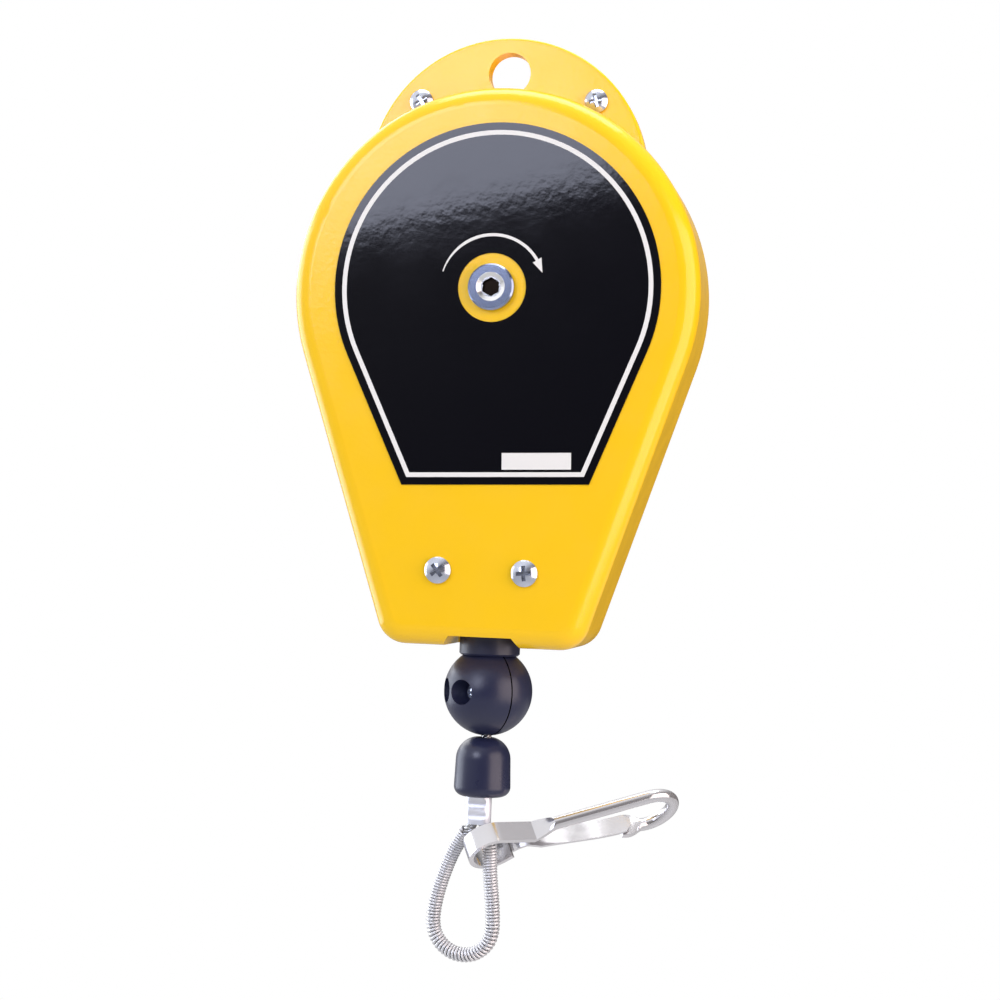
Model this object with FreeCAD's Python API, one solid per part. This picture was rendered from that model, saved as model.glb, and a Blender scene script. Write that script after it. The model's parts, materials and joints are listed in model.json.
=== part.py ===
import FreeCAD, Part
import math
import os

# Spring tool balancer: a cast casing hangs from a hole in its lug, and a spring-loaded
# drum inside pays out a wire rope that ends in a stop ball, a rope eye and a snap hook.
# Millimetres. The origin is the centre of the hang hole, halfway through the lug.
# +Z is up, the front face looks along -Y, and +X is to the right seen from the front.

V = FreeCAD.Vector
X, Y, Z = V(1, 0, 0), V(0, 1, 0), V(0, 0, 1)

# ---- clearances ----
RUNNING_FIT = 0.05        # radial, shaft in bush
SEAT_FIT = 0.05           # radial, bush, screw or rope in its hole
FREE_GAP = 0.3            # between bodies that pass each other
JOINT_GAP = 0.1           # between parts that meet on a parting plane

# ---- casing ----
CASE_RADIUS = 62.3        # round part
CASE_SINK = 0.9           # centre of the round part below the hub
SIDE_ANGLE = 18.3         # slope of each straight side, degrees
FOOT_DROP = 108.0         # hub down to the foot face
FOOT_CORNER = 9.0
FRONT_DEPTH = 18.5        # parting plane to the front face
REAR_DEPTH = 19.0         # parting plane to the rear face
WALL = 2.5
FRONT_ROUND = 6.0
REAR_ROUND = 5.0
TONGUE_HEIGHT = 1.5       # tongue of the rear half in the rebate of the front half
REAR_BOSS_RADIUS = 17.0
REAR_BOSS_HEIGHT = 2.5
FRONT_BOSS_RADIUS = 12.0
FRONT_BOSS_HEIGHT = 1.4
BUSH_FLOOR = 0.4          # how far the rear bush's seat runs into the rear wall's boss

# ---- lug ----
LUG_RADIUS = 43.7
LUG_HALF = 3.0            # thickness of each half of the lug
LUG_EDGE = 0.8
LUG_WEB = 4.55            # metal left above the hang hole
LUG_HOLLOW = 5.0          # hollow radius where the lug meets the round part
HANG_HOLE_RADIUS = 6.55
HOLE_LEDGE = 0.05         # hang hole above the top of the casing

# ---- casing screws ----
SCREW_RADIUS = 2.0
LUG_SCREW_ANGLE = 24.4    # from the top of the casing, degrees
LUG_HEAD_GAP = 0.25       # screw head to the casing's side
LUG_HEAD_RADIUS = 3.6
FOOT_SCREW_X = 13.2
FOOT_SCREW_DROP = 85.4    # below the hub
FOOT_HEAD_RADIUS = 4.0
HEAD_HEIGHT = 2.6
HEAD_DOME = 0.6           # share of a head's height that is domed
RECESS_SPAN = 1.15        # a cross recess, as shares of its head
RECESS_SLOT = 0.3
RECESS_DEPTH = 0.6
THREAD_SHOWS = 1.0        # screw end past its nut
POST_RADIUS = 5.0
NUT_ACROSS = 7.0
NUT_HEIGHT = 3.2

# ---- name plate, bare ----
PLATE_RADIUS = 49.8
PLATE_ANGLE = 23.5
PLATE_DROP = 59.2
PLATE_THICKNESS = 0.3
PLATE_SHIFT = 1.2         # stuck a little to the right of the hub
PLATE_TURN = 1.8          # and turned a little, degrees
PLATE_HOLE_RADIUS = 10.4

# ---- arbor, tension bolt and bushes ----
JOURNAL_RADIUS = 5.0
DRUM_SEAT_RADIUS = 6.0
SPRING_SEAT_RADIUS = 8.0
BUSH_WALL = 1.25
BUSH_FLANGE_RADIUS = 9.0
BUSH_FLANGE = 0.7
BOLT_RADIUS = 4.0
BOLT_DEPTH = 16.0
BOLT_HEAD_RADIUS = 7.0
BOLT_HEAD_HEIGHT = 2.4
SOCKET_ACROSS = 5.0
SOCKET_DEPTH = 2.0
SOCKET_RIM_RADIUS = 4.3
FLAT_DEPTH = 0.8          # drive flat of the arbor in the ratchet wheel

# ---- ratchet ----
RATCHET_RADIUS = 15.0
RATCHET_ROOT = 12.6
RATCHET_THICKNESS = 2.2
RATCHET_TEETH = 16
CLICK_LENGTH = 16.0
CLICK_THICKNESS = 0.8
CLICK_TAB = 9.0
CLICK_RISE = 20.0         # degrees off the tangent

# ---- drum and rope ----
ROPE_RADIUS = 1.6
WIND_RADIUS = 50.0        # drum axis to the middle of the rope
GROOVE_PITCH = 3.5
GROOVES = 7
WRAPS = 5                 # grooves that hold rope when all of it is in
DRUM_WALL = 2.6           # under the grooves
DRUM_LIP = 2.5            # height of the end lips above the rope's middle
DRUM_LIP_WIDTH = 1.25
DRUM_WEB = 2.5
DRUM_HUB_RADIUS = 12.0
COVER_THICKNESS = 1.5
COVER_SCREWS = 4
COVER_SCREW_RADIUS = 1.5
COVER_HEAD_RADIUS = 2.8
COVER_HEAD_HEIGHT = 1.3
COVER_BOSS_RADIUS = 3.0
STOP_RADIUS = 2.6
STOP_LENGTH = 6.0
FEED_STRAIGHT = 18.0      # rope off the drum before it bends to the guide
FEED_BENDS = [0, 60.0, 14.0, 0]

# ---- power spring ----
STRIP = 0.5
STRIP_TURNS = 11
COIL_GAP = 1.35           # innermost turn off the arbor
TANG_DEPTH = 2.5          # tang of the strip in the arbor's slot
ANCHOR_RADIUS = 2.0

# ---- rope guide ----
NOTCH_DEPTH = 3.0         # recess in the foot face around the guide
NOTCH_SLOPE = 2.2
COLLAR_RADIUS = 9.3
COLLAR_HEIGHT = 6.0
NECK_RADIUS = 6.0
NECK_HEIGHT = 11.0
FLANGE_RADIUS = 8.0
FLANGE_HEIGHT = 2.0
THROAT_RADIUS = 2.2
MOUTH_RADIUS = 5.4
BLOCK_HALF = 15.0         # half width of the block that holds the guide

# ---- stop ball ----
BALL_RADIUS = 13.6
BALL_SEAT_DROP = 11.0     # collar's lower rim down to the ball's centre
BALL_SPLIT_ANGLE = 47.0   # screw heads point this far left of the front
BALL_SCREW_OFFSET = 4.3
BALL_SCREW_RADIUS = 1.5
BALL_HEAD_RADIUS = 2.8
BALL_HEAD_HEIGHT = 2.0
BALL_COUNTERBORE = 3.8
BALL_GRIP = 7.5           # split plane to the counterbore's floor
BALL_NUT_ACROSS = 5.5
BALL_NUT_HEIGHT = 2.4
SEAM_BEVEL = 0.5

# ---- cap, ferrule and rope eye ----
CAP_DROP = 14.2           # ball centre to the top of the cap
CAP_RADIUS = 8.7
CAP_HEIGHT = 18.0
CAP_TOP_RADIUS = 3.2
CAP_DOME = 6.5
CAP_BULGE_RADIUS = 6.9    # a point on the dome
CAP_BULGE_DROP = 2.4
CAP_FOOT_ROUND = 3.0
CAP_TAPER = 0.3           # narrower by this below the dome
CAP_SHIFT = 0.75          # the cap hangs on the ferrule, beside the rope
CAP_CAVITY_RADIUS = 5.2
CAP_CAVITY_DEPTH = 7.5
FERRULE_HALF_WIDTH = 4.05
FERRULE_HALF_DEPTH = 2.65
FERRULE_HEIGHT = 13.0
FERRULE_SHOWS = 8.6       # below the cap
CRIMP_DEPTH = 0.45
CRIMP_RADIUS = 3.0
CRIMP_RISES = (3.0, 6.6)  # above the ferrule's foot
SLEEVE_RADIUS = 2.35
SLEEVE_WALL = 0.65
EYE_END_REACH = 1.9       # how far the bends below the ferrule reach
EYE_TWIST = 17.0          # the eye's plane, turned about the ferrule, degrees
EYE_LENGTH = 40.5         # ferrule's foot down to the middle of the lowest run
EYE_CORNER = 5.5          # height of the two lower corners
EYE_SIDE = 9.0            # straight sides above them
EYE_RIGHT = 4.75          # rope's axis out to the right side
EYE_LEFT = 16.0           # and to the left side
EYE_FOOT_HALF = 4.25      # half of the lowest run
EYE_LEG = 2.95            # right leg, where the hook rides, off the rope's axis
EYE_LEG_TOP = 4.6
EYE_LEG_FOOT = 13.5
EYE_SLANT = 6.8           # left leg, where it spreads from the ferrule
EYE_SLANT_DROP = 3.6
EYE_SHOULDER = 11.7
EYE_SHOULDER_DROP = 12.6
EYE_LEG_START = 1.0       # straight part of each leg below the ferrule

# ---- snap hook ----
RING_RADIUS = 7.0         # eye of the hook, middle of the strip
STRIP_WIDTH = 6.6
HOOK_STRIP = 1.5
NECK_REACH = 13.4
NECK_SIDE = 2.87
NECK_THICK = 2.0          # halfway from the strip to the round bar
NECK_WIDE = 5.3
BAR_RADIUS = 2.0
BAR_START = 20.2
BAR_START_SIDE = 5.2
BAR_LENGTH = 30.3
BAR_SPLAY = 7.8           # degrees away from the hook's middle line
BEND_RADIUS = 8.1
BEND_TURN = 200.0
NOSE_LENGTH = 7.0
NOSE_THICK = 2.4          # the nose is flattened to seat the gate
NOSE_WIDE = 6.6
LEAF = 1.0
LEAF_ROOT = 6.8           # the leaf flexes at this narrow waist
LEAF_SIDE = 3.9
LEAF_FALL = 10.5          # the waist comes down towards the neck
LEAF_FALL_SIDE = 2.2
LEAF_TURN = 16.0          # and the leaf spreads from it again
LEAF_TURN_SIDE = 2.0
LEAF_MIDDLE = 29.0
LEAF_MIDDLE_SIDE = 3.4
LEAF_TIP = 46.0
LEAF_TIP_SIDE = 3.5
LEAF_WIDTH = 6.0
LEAF_CORNER = 2.0
WAIST_WIDTH = 3.2
WAIST_LENGTH = 5.0
WAIST_FLARE = 4.0
HOOK_DROP = 6.2           # ferrule's foot down to the hook's eye
HOOK_HEADING = 25.5       # degrees from +X towards +Y
HOOK_RISE = 11.6
HOOK_ROLL = 40.0

# ---- places that follow from the sizes ----
HUB_DROP = CASE_RADIUS - CASE_SINK + HOLE_LEDGE + HANG_HOLE_RADIUS
HUB = V(0, 0, -HUB_DROP)
CASE_CENTRE = HUB - Z * CASE_SINK
LUG_CENTRE = Z * (HANG_HOLE_RADIUS + LUG_WEB - LUG_RADIUS)
FRONT_FACE = -FRONT_DEPTH
REAR_FACE = REAR_DEPTH
FRONT_INSIDE = FRONT_FACE + WALL
REAR_INSIDE = REAR_FACE - WALL
FOOT_Z = -HUB_DROP - FOOT_DROP
NOTCH_Z = FOOT_Z + NOTCH_DEPTH
BLOCK_TOP = NOTCH_Z + NECK_HEIGHT
COLLAR_TOP = NOTCH_Z - JOINT_GAP
COLLAR_RIM = COLLAR_TOP - COLLAR_HEIGHT
BALL_Z = COLLAR_RIM - BALL_SEAT_DROP
CAP_TOP = BALL_Z - CAP_DROP
CAP_FOOT = CAP_TOP - CAP_HEIGHT
FERRULE_FOOT = CAP_FOOT - FERRULE_SHOWS
FERRULE_X = -ROPE_RADIUS - SEAT_FIT
FLANGE_INSIDE = FRONT_INSIDE + FRONT_BOSS_HEIGHT
DRUM_HALF = GROOVES * GROOVE_PITCH / 2 + DRUM_LIP_WIDTH
DRUM_INNER = WIND_RADIUS - ROPE_RADIUS - SEAT_FIT - DRUM_WALL
WEB_INSIDE = DRUM_HALF - DRUM_WEB
COVER_INSIDE = -DRUM_HALF + COVER_THICKNESS
HUB_INSIDE = WEB_INSIDE - 1.1
ROPE_IN_Z = COLLAR_TOP + 0.5


# ---- small helpers ----
def cylinder(radius, start, end):
    """Round bar between two points."""
    run = end - start
    return Part.makeCylinder(radius, run.Length, start, run)


def hub_disc(radius, y0, y1, inner=0.0):
    """Disc or ring about the hub axis, between two depths."""
    disc = cylinder(radius, HUB + Y * y0, HUB + Y * y1)
    if inner:
        disc = disc.cut(cylinder(inner, HUB + Y * (y0 - 1), HUB + Y * (y1 + 1)))
    return disc


def polygon(points):
    """Flat face with straight edges."""
    return Part.Face(Part.makePolygon(points + [points[0]]))


def hexagon(across, start, along, height):
    """Hexagonal prism, from a point along a direction."""
    side = Z if abs(along.z) < 0.9 else X
    third = along.cross(side)
    radius = across / math.sqrt(3)
    corners = []
    for k in range(6):
        turn = math.radians(60 * k)
        corners.append(start + side * (radius * math.cos(turn)) + third * (radius * math.sin(turn)))
    return polygon(corners).extrude(along * height)


def turned(profile, centre, axis, radial):
    """Solid of revolution. The profile holds (radius, distance along the axis)."""
    points = [centre + radial * r + axis * h for r, h in profile]
    return polygon(points).revolve(centre, axis, 360)


def fuse(shapes):
    """One clean solid from touching shapes."""
    return shapes[0].multiFuse(shapes[1:]).removeSplitter()


def pan_head(radius, height, under, out, turn=0):
    """Domed screw head with a cross recess, sitting at a point and facing a direction."""
    head = cylinder(radius, under, under + out * height)
    sag = height * HEAD_DOME
    dome = (radius * radius + sag * sag) / (2 * sag)
    head = head.common(Part.makeSphere(dome, under + out * (height - dome)))
    floor = under + out * (height * (1 - RECESS_DEPTH))
    return head.cut(cross_recess(radius, floor, out * (height * 2), turn))


def cross_recess(radius, floor, along, turn):
    """Two crossed slots that run out from a point along a direction."""
    side = Z if abs(along.getAngle(Z) - math.pi / 2) < 0.1 else X
    third = along.cross(side).normalize()
    slots = []
    for quarter in (0, 90):
        angle = math.radians(turn + quarter)
        long_way = side * math.cos(angle) + third * math.sin(angle)
        wide_way = side * -math.sin(angle) + third * math.cos(angle)
        a, b = long_way * (radius * RECESS_SPAN / 2), wide_way * (radius * RECESS_SLOT / 2)
        slots.append(polygon([floor - a - b, floor + a - b, floor + a + b, floor - a + b]).extrude(along))
    return slots[0].fuse(slots[1])


def centre_line(points, bends):
    """Straight runs joined by tangent arcs, one radius for each corner."""
    edges = []
    here = points[0]
    for k in range(1, len(points) - 1):
        back = (points[k - 1] - points[k]).normalize()
        ahead = (points[k + 1] - points[k]).normalize()
        half = (math.pi - back.getAngle(ahead)) / 2
        reach = bends[k] * math.tan(half)
        start = points[k] + back * reach
        end = points[k] + ahead * reach
        inward = (back + ahead).normalize()
        middle = points[k] + inward * (bends[k] / math.cos(half) - bends[k])
        edges.append(Part.LineSegment(here, start).toShape())
        edges.append(Part.Arc(start, middle, end).toShape())
        here = end
    edges.append(Part.LineSegment(here, points[-1]).toShape())
    return Part.Wire(edges)


def tube(points, bends, radius):
    """Round rod along a centre line."""
    heading = (points[1] - points[0]).normalize()
    ring = Part.Wire(Part.makeCircle(radius, points[0], heading))
    return centre_line(points, bends).makePipeShell([ring], True, False)


def cord_report(name, points, bends, radius):
    """Bend radii of a cord, and its volume next to its section times its length."""
    expected = math.pi * radius ** 2 * centre_line(points, bends).Length
    volume = tube(points, bends, radius).Volume
    radii = ", ".join("%.1f" % bend for bend in bends[1:-1])
    print("%s: radius %.2f, bends %s, volume %.1f of %.1f" % (name, radius, radii, volume, expected))


def natural_bends(points, end_reach):
    """Largest easy radius at each corner of a route, tighter at the first and last corner."""
    bends = [0.0]
    for k in range(1, len(points) - 1):
        back = points[k - 1] - points[k]
        ahead = points[k + 1] - points[k]
        half = (math.pi - back.getAngle(ahead)) / 2
        reach = 0.45 * min(back.Length, ahead.Length)
        if k in (1, len(points) - 2):
            reach = min(reach, end_reach)
        bends.append(reach / math.tan(half))
    return bends + [0.0]


# ---- casing ----
def drop_outline(centre, radius, angle, drop, corner):
    """Drop shape about a point: a round top, two straight sides and a flat foot."""
    slope = math.radians(angle)
    out = V(math.cos(slope), 0, -math.sin(slope))
    side_end = out * radius
    low = -drop + corner
    corner_x = (radius - corner + low * math.sin(slope)) / math.cos(slope)
    corner_centre = V(corner_x, 0, low)
    corner_side = corner_centre + out * corner
    corner_foot = corner_centre - Z * corner
    mirror = lambda p: V(-p.x, p.y, p.z)
    edges = [Part.Arc(side_end, Z * radius, mirror(side_end)).toShape(),
             Part.LineSegment(mirror(side_end), mirror(corner_side)).toShape()]
    if corner > 0:
        middle = corner_centre + (out - Z).normalize() * corner
        edges.append(Part.Arc(mirror(corner_side), mirror(middle), mirror(corner_foot)).toShape())
    edges.append(Part.LineSegment(mirror(corner_foot), corner_foot).toShape())
    if corner > 0:
        edges.append(Part.Arc(corner_foot, middle, corner_side).toShape())
    edges.append(Part.LineSegment(corner_side, side_end).toShape())
    wire = Part.Wire(edges)
    wire.translate(centre)
    return wire


def case_slab(inset, y0, y1):
    """Solid of the casing's outline, moved inwards, between two depths."""
    wire = drop_outline(CASE_CENTRE + Y * y0, CASE_RADIUS - inset, SIDE_ANGLE,
                        FOOT_DROP - CASE_SINK - inset, FOOT_CORNER - inset)
    return Part.Face(wire).extrude(Y * (y1 - y0))


def rounded_slab(inset, depth, round_radius):
    """Slab from the parting plane to a depth, with its far edge rounded."""
    slab = case_slab(inset, 0, depth)
    rim = [edge for edge in slab.Edges if all(abs(v.Y - depth) < 1e-6 for v in edge.Vertexes)]
    return slab.makeFillet(round_radius, rim)


def lug_half(depth):
    """Half of the lug, from the parting plane, with a softened outer edge and the hang hole."""
    disc = cylinder(LUG_RADIUS, LUG_CENTRE, LUG_CENTRE + Y * depth)
    rim = [edge for edge in disc.Edges if abs(edge.CenterOfMass.y - depth) < 1e-6]
    disc = disc.makeFillet(LUG_EDGE, rim)
    keep = Part.makeBox(4 * LUG_RADIUS, 4 * LUG_HALF, 4 * LUG_RADIUS,
                        V(-2 * LUG_RADIUS, -2 * LUG_HALF, (HUB.z + LUG_CENTRE.z) / 2))
    lug = disc.common(keep).multiFuse([lug_corner(side, depth) for side in (-1, 1)])
    return lug.cut(cylinder(HANG_HOLE_RADIUS, Y * -2 * LUG_HALF, Y * 2 * LUG_HALF))


def lug_corner(side, depth):
    """Web with a hollow edge, tangent to the lug's arc and to the round part."""
    apart = (LUG_CENTRE - CASE_CENTRE).Length
    lug_reach = LUG_RADIUS + LUG_HOLLOW
    case_reach = CASE_RADIUS + LUG_HOLLOW
    rise = (case_reach ** 2 - lug_reach ** 2 + apart ** 2) / (2 * apart)
    out = math.sqrt(case_reach ** 2 - rise ** 2)
    centre = CASE_CENTRE + V(side * out, 0, rise)
    on_lug = LUG_CENTRE + (centre - LUG_CENTRE) * (LUG_RADIUS / lug_reach)
    on_case = CASE_CENTRE + (centre - CASE_CENTRE) * (CASE_RADIUS / case_reach)
    web = polygon([on_lug, on_case, LUG_CENTRE]).extrude(Y * depth)
    return web.cut(cylinder(LUG_HOLLOW, centre - Y * 2 * LUG_HALF, centre + Y * 2 * LUG_HALF))


def lug_screw_places():
    turn = math.radians(LUG_SCREW_ANGLE)
    reach = CASE_RADIUS + LUG_HEAD_GAP + LUG_HEAD_RADIUS
    return [CASE_CENTRE + V(side * math.sin(turn), 0, math.cos(turn)) * reach for side in (-1, 1)]


def foot_screw_places():
    return [V(side * FOOT_SCREW_X, 0, HUB.z - FOOT_SCREW_DROP) for side in (-1, 1)]


def foot_notch():
    """Recess in the foot face, open at the front, with sloping ends, round the guide's collar."""
    half = COLLAR_RADIUS + FREE_GAP
    corners = [V(-half, -FRONT_DEPTH - 1, NOTCH_Z), V(half, -FRONT_DEPTH - 1, NOTCH_Z),
               V(half + NOTCH_SLOPE, -FRONT_DEPTH - 1, FOOT_Z - 0.01),
               V(-half - NOTCH_SLOPE, -FRONT_DEPTH - 1, FOOT_Z - 0.01)]
    return polygon(corners).extrude(Y * (FRONT_DEPTH + 1 + half))


def case_half(depth, wall_depth, round_radius):
    """Hollow half casing with its lug, screw posts and the block for the rope guide."""
    side = math.copysign(1, depth)
    shell = rounded_slab(0, depth, round_radius).fuse(lug_half(side * LUG_HALF))
    cavity = rounded_slab(WALL, wall_depth, round_radius - WALL)
    block = Part.makeBox(2 * BLOCK_HALF, abs(wall_depth), BLOCK_TOP - FOOT_Z,
                         V(-BLOCK_HALF, min(0, wall_depth), FOOT_Z))
    posts = [cylinder(POST_RADIUS, p, p + Y * wall_depth) for p in foot_screw_places()]
    cavity = cavity.cut(block.multiFuse(posts))
    shell = shell.cut(cavity)
    neck = cylinder(NECK_RADIUS + JOINT_GAP, Z * (NOTCH_Z - 1), Z * (BLOCK_TOP + 1))
    return shell.cut(neck.fuse(foot_notch()))


def seam_ring(inset, y0, y1):
    """Ring along the inner part of the wall at the seam."""
    return case_slab(inset, y0, y1).cut(case_slab(WALL, y0 - 1, y1 + 1))


def front_cover():
    body = case_half(FRONT_FACE, FRONT_INSIDE, FRONT_ROUND)
    body = body.fuse(hub_disc(FRONT_BOSS_RADIUS, FRONT_INSIDE, FLANGE_INSIDE))
    holes = [hub_disc(bush_outer() + SEAT_FIT, FRONT_FACE - 1, FLANGE_INSIDE + 1)]
    for place in lug_screw_places() + foot_screw_places():
        holes.append(cylinder(SCREW_RADIUS + SEAT_FIT, place + Y * (FRONT_FACE - 1), place + Y))
    rebate = seam_ring(WALL / 2, -TONGUE_HEIGHT - JOINT_GAP, 1)
    return body.cut(holes[0].multiFuse(holes[1:] + [rebate])).removeSplitter()


def rear_housing():
    body = case_half(REAR_FACE, REAR_INSIDE, REAR_ROUND)
    boss = hub_disc(REAR_BOSS_RADIUS, REAR_FACE - 1, REAR_FACE + REAR_BOSS_HEIGHT)
    rim = [edge for edge in boss.Edges
           if abs(edge.CenterOfMass.y - REAR_FACE - REAR_BOSS_HEIGHT) < 1e-6]
    boss = boss.makeFillet(REAR_BOSS_HEIGHT * 0.6, rim)
    tongue = seam_ring(WALL / 2 + JOINT_GAP, -TONGUE_HEIGHT, 0.5).cut(foot_notch())
    body = body.multiFuse([boss, tongue])
    holes = [hub_disc(bush_outer() + SEAT_FIT, REAR_INSIDE - 1, REAR_FACE + BUSH_FLOOR)]
    for place in lug_screw_places():
        holes.append(cylinder(SCREW_RADIUS + SEAT_FIT, place - Y, place + Y * (LUG_HALF + 1)))
    for place in foot_screw_places():
        holes.append(cylinder(SCREW_RADIUS + SEAT_FIT, place - Y, place + Y * (REAR_INSIDE - 1)))
    tab = click_screw_place()
    holes.append(cylinder(COVER_SCREW_RADIUS + SEAT_FIT, tab, tab + Y * (REAR_FACE - 0.8 - tab.y)))
    return body.cut(holes[0].multiFuse(holes[1:])).removeSplitter()


def top_screws():
    screws = []
    for place, turn in zip(lug_screw_places(), (35, 15)):
        head = pan_head(LUG_HEAD_RADIUS, HEAD_HEIGHT, place - Y * LUG_HALF, -Y, turn)
        end = place + Y * (LUG_HALF + NUT_HEIGHT + THREAD_SHOWS)
        screws.append(head.fuse(cylinder(SCREW_RADIUS, place - Y * LUG_HALF, end)).removeSplitter())
    return Part.makeCompound(screws)


def top_nuts():
    nuts = []
    for place in lug_screw_places():
        nut = hexagon(NUT_ACROSS, place + Y * LUG_HALF, Y, NUT_HEIGHT)
        nuts.append(nut.cut(cylinder(SCREW_RADIUS + SEAT_FIT, place, place + Y * 20)))
    return Part.makeCompound(nuts)


def bottom_screws():
    screws = []
    for place, turn in zip(foot_screw_places(), (40, 5)):
        face = place + Y * FRONT_FACE
        head = pan_head(FOOT_HEAD_RADIUS, HEAD_HEIGHT, face, -Y, turn)
        end = place + Y * (REAR_INSIDE - 3)
        screws.append(head.fuse(cylinder(SCREW_RADIUS, face, end)).removeSplitter())
    return Part.makeCompound(screws)


def name_plate():
    wire = drop_outline(HUB, PLATE_RADIUS, PLATE_ANGLE, PLATE_DROP, 0)
    plate = Part.Face(wire).extrude(-Y * PLATE_THICKNESS)
    plate.rotate(HUB, -Y, PLATE_TURN)
    plate.translate(X * PLATE_SHIFT + Y * FRONT_FACE)
    return plate.cut(hub_disc(PLATE_HOLE_RADIUS, FRONT_FACE - 1, FRONT_FACE + 1))


# ---- arbor and its bearings ----
def bush_outer():
    return JOURNAL_RADIUS + RUNNING_FIT + BUSH_WALL


def front_bush():
    sleeve = hub_disc(bush_outer(), FRONT_FACE, FLANGE_INSIDE)
    flange = hub_disc(BUSH_FLANGE_RADIUS, FLANGE_INSIDE, FLANGE_INSIDE + BUSH_FLANGE)
    bore = hub_disc(JOURNAL_RADIUS + RUNNING_FIT, FRONT_FACE - 1, 0)
    return sleeve.fuse(flange).cut(bore).removeSplitter()


def rear_bush():
    return hub_disc(bush_outer(), REAR_INSIDE, REAR_FACE + BUSH_FLOOR - JOINT_GAP,
                    JOURNAL_RADIUS + RUNNING_FIT)


def arbor():
    """Stepped shaft that holds the inner end of the spring."""
    front_end = FRONT_FACE - FREE_GAP / 2
    steps = [hub_disc(JOURNAL_RADIUS, front_end, REAR_FACE + 0.1),
             hub_disc(DRUM_SEAT_RADIUS, -DRUM_HALF, ratchet_front()),
             hub_disc(SPRING_SEAT_RADIUS, COVER_INSIDE + FREE_GAP, HUB_INSIDE - FREE_GAP)]
    shaft = fuse(steps)
    thread = hub_disc(BOLT_RADIUS + SEAT_FIT, front_end - 1, front_end + BOLT_DEPTH)
    slot_height = STRIP + 2 * FREE_GAP
    slot = Part.makeBox(SPRING_SEAT_RADIUS, strip_end() - strip_start() + 2 * FREE_GAP, slot_height,
                        HUB + V(SPRING_SEAT_RADIUS - TANG_DEPTH - FREE_GAP, strip_start() - FREE_GAP,
                                -slot_height / 2))
    return shaft.cut(thread.multiFuse([slot, drive_flat(0)])).removeSplitter()


def drive_flat(clearance):
    """Block outside the arbor's flat, in the ratchet wheel's depth."""
    low = JOURNAL_RADIUS - FLAT_DEPTH + clearance
    depth = RATCHET_THICKNESS + FREE_GAP
    return Part.makeBox(4 * JOURNAL_RADIUS, depth, JOURNAL_RADIUS,
                        HUB + V(-2 * JOURNAL_RADIUS, ratchet_front(), low))


def tension_bolt():
    """Low bolt head with a hexagon socket; it turns the arbor."""
    under = FRONT_FACE - PLATE_THICKNESS
    face = under - BOLT_HEAD_HEIGHT
    head = hub_disc(BOLT_HEAD_RADIUS, face, under)
    rim = [edge for edge in head.Edges if abs(edge.CenterOfMass.y - face) < 1e-6]
    head = head.makeChamfer(0.5, rim)
    shank = hub_disc(BOLT_RADIUS, under - 0.5, FRONT_FACE + BOLT_DEPTH - 2)
    cone = turned([(0, 0), (SOCKET_RIM_RADIUS, 0), (SOCKET_RIM_RADIUS - 1.2, 0.6), (0, 0.6)],
                  HUB + Y * face, Y, X)
    socket = hexagon(SOCKET_ACROSS, HUB + Y * (face - 1), Y, SOCKET_DEPTH + 1)
    return head.fuse(shank).cut(cone.fuse(socket)).removeSplitter()


def ratchet_front():
    return REAR_INSIDE - FREE_GAP - RATCHET_THICKNESS


def ratchet_wheel():
    """Saw-toothed wheel on the arbor's flat."""
    step = 2 * math.pi / RATCHET_TEETH
    phase = click_angle() - 0.02
    points = []
    for k in range(RATCHET_TEETH):
        for radius, angle in ((RATCHET_ROOT, k * step), (RATCHET_RADIUS, (k + 1) * step)):
            turn = phase + angle
            points.append(HUB + V(radius * math.cos(turn), ratchet_front(), radius * math.sin(turn)))
    wheel = polygon(points).extrude(Y * RATCHET_THICKNESS)
    bore = hub_disc(JOURNAL_RADIUS + SEAT_FIT, ratchet_front() - 1, REAR_INSIDE)
    return wheel.cut(bore.cut(drive_flat(SEAT_FIT)))


def click_angle():
    return math.radians(115)


def click_point():
    radius = RATCHET_ROOT + CLICK_THICKNESS / 2 + FREE_GAP
    return V(radius * math.cos(click_angle()), 0, radius * math.sin(click_angle()))


def click_heading():
    """Direction from the leaf's tip back to its root, rising above the teeth."""
    turn = click_angle() + math.radians(90 - CLICK_RISE)
    return V(math.cos(turn), 0, math.sin(turn))


def click_screw_place():
    middle = click_point() + click_heading() * (CLICK_LENGTH + CLICK_TAB / 2)
    return HUB + middle + Y * (REAR_INSIDE - CLICK_THICKNESS)


def click_spring():
    """Leaf that drops behind each ratchet tooth, with a tab screwed to the rear wall."""
    tip = click_point() + click_heading() * FREE_GAP
    root = click_point() + click_heading() * (CLICK_LENGTH + CLICK_TAB)
    side = click_heading().cross(Y) * (CLICK_THICKNESS / 2)
    leaf = polygon([HUB + p + Y * ratchet_front()
                    for p in (tip - side, tip + side, root + side, root - side)])
    leaf = leaf.extrude(Y * (REAR_INSIDE - ratchet_front()))
    start = click_point() + click_heading() * CLICK_LENGTH
    wide = click_heading().cross(Y) * (CLICK_TAB / 2)
    tab = polygon([HUB + p + Y * (REAR_INSIDE - CLICK_THICKNESS)
                   for p in (start - wide, start + wide, root + wide, root - wide)])
    tab = tab.extrude(Y * CLICK_THICKNESS)
    place = click_screw_place()
    hole = cylinder(COVER_SCREW_RADIUS + SEAT_FIT, place - Y * 5, place + Y * 5)
    screw_room = cylinder(COVER_HEAD_RADIUS + FREE_GAP, place - Y * 5, place)
    return fuse([leaf.cut(screw_room), tab]).cut(hole)


def click_screw():
    place = click_screw_place()
    head = pan_head(COVER_HEAD_RADIUS, COVER_HEAD_HEIGHT, place, -Y)
    shank = cylinder(COVER_SCREW_RADIUS, place, place + Y * (REAR_FACE - 1 - place.y))
    return head.fuse(shank).removeSplitter()


# ---- drum ----
def groove_y(index):
    return (index - (GROOVES - 1) / 2) * GROOVE_PITCH


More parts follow.
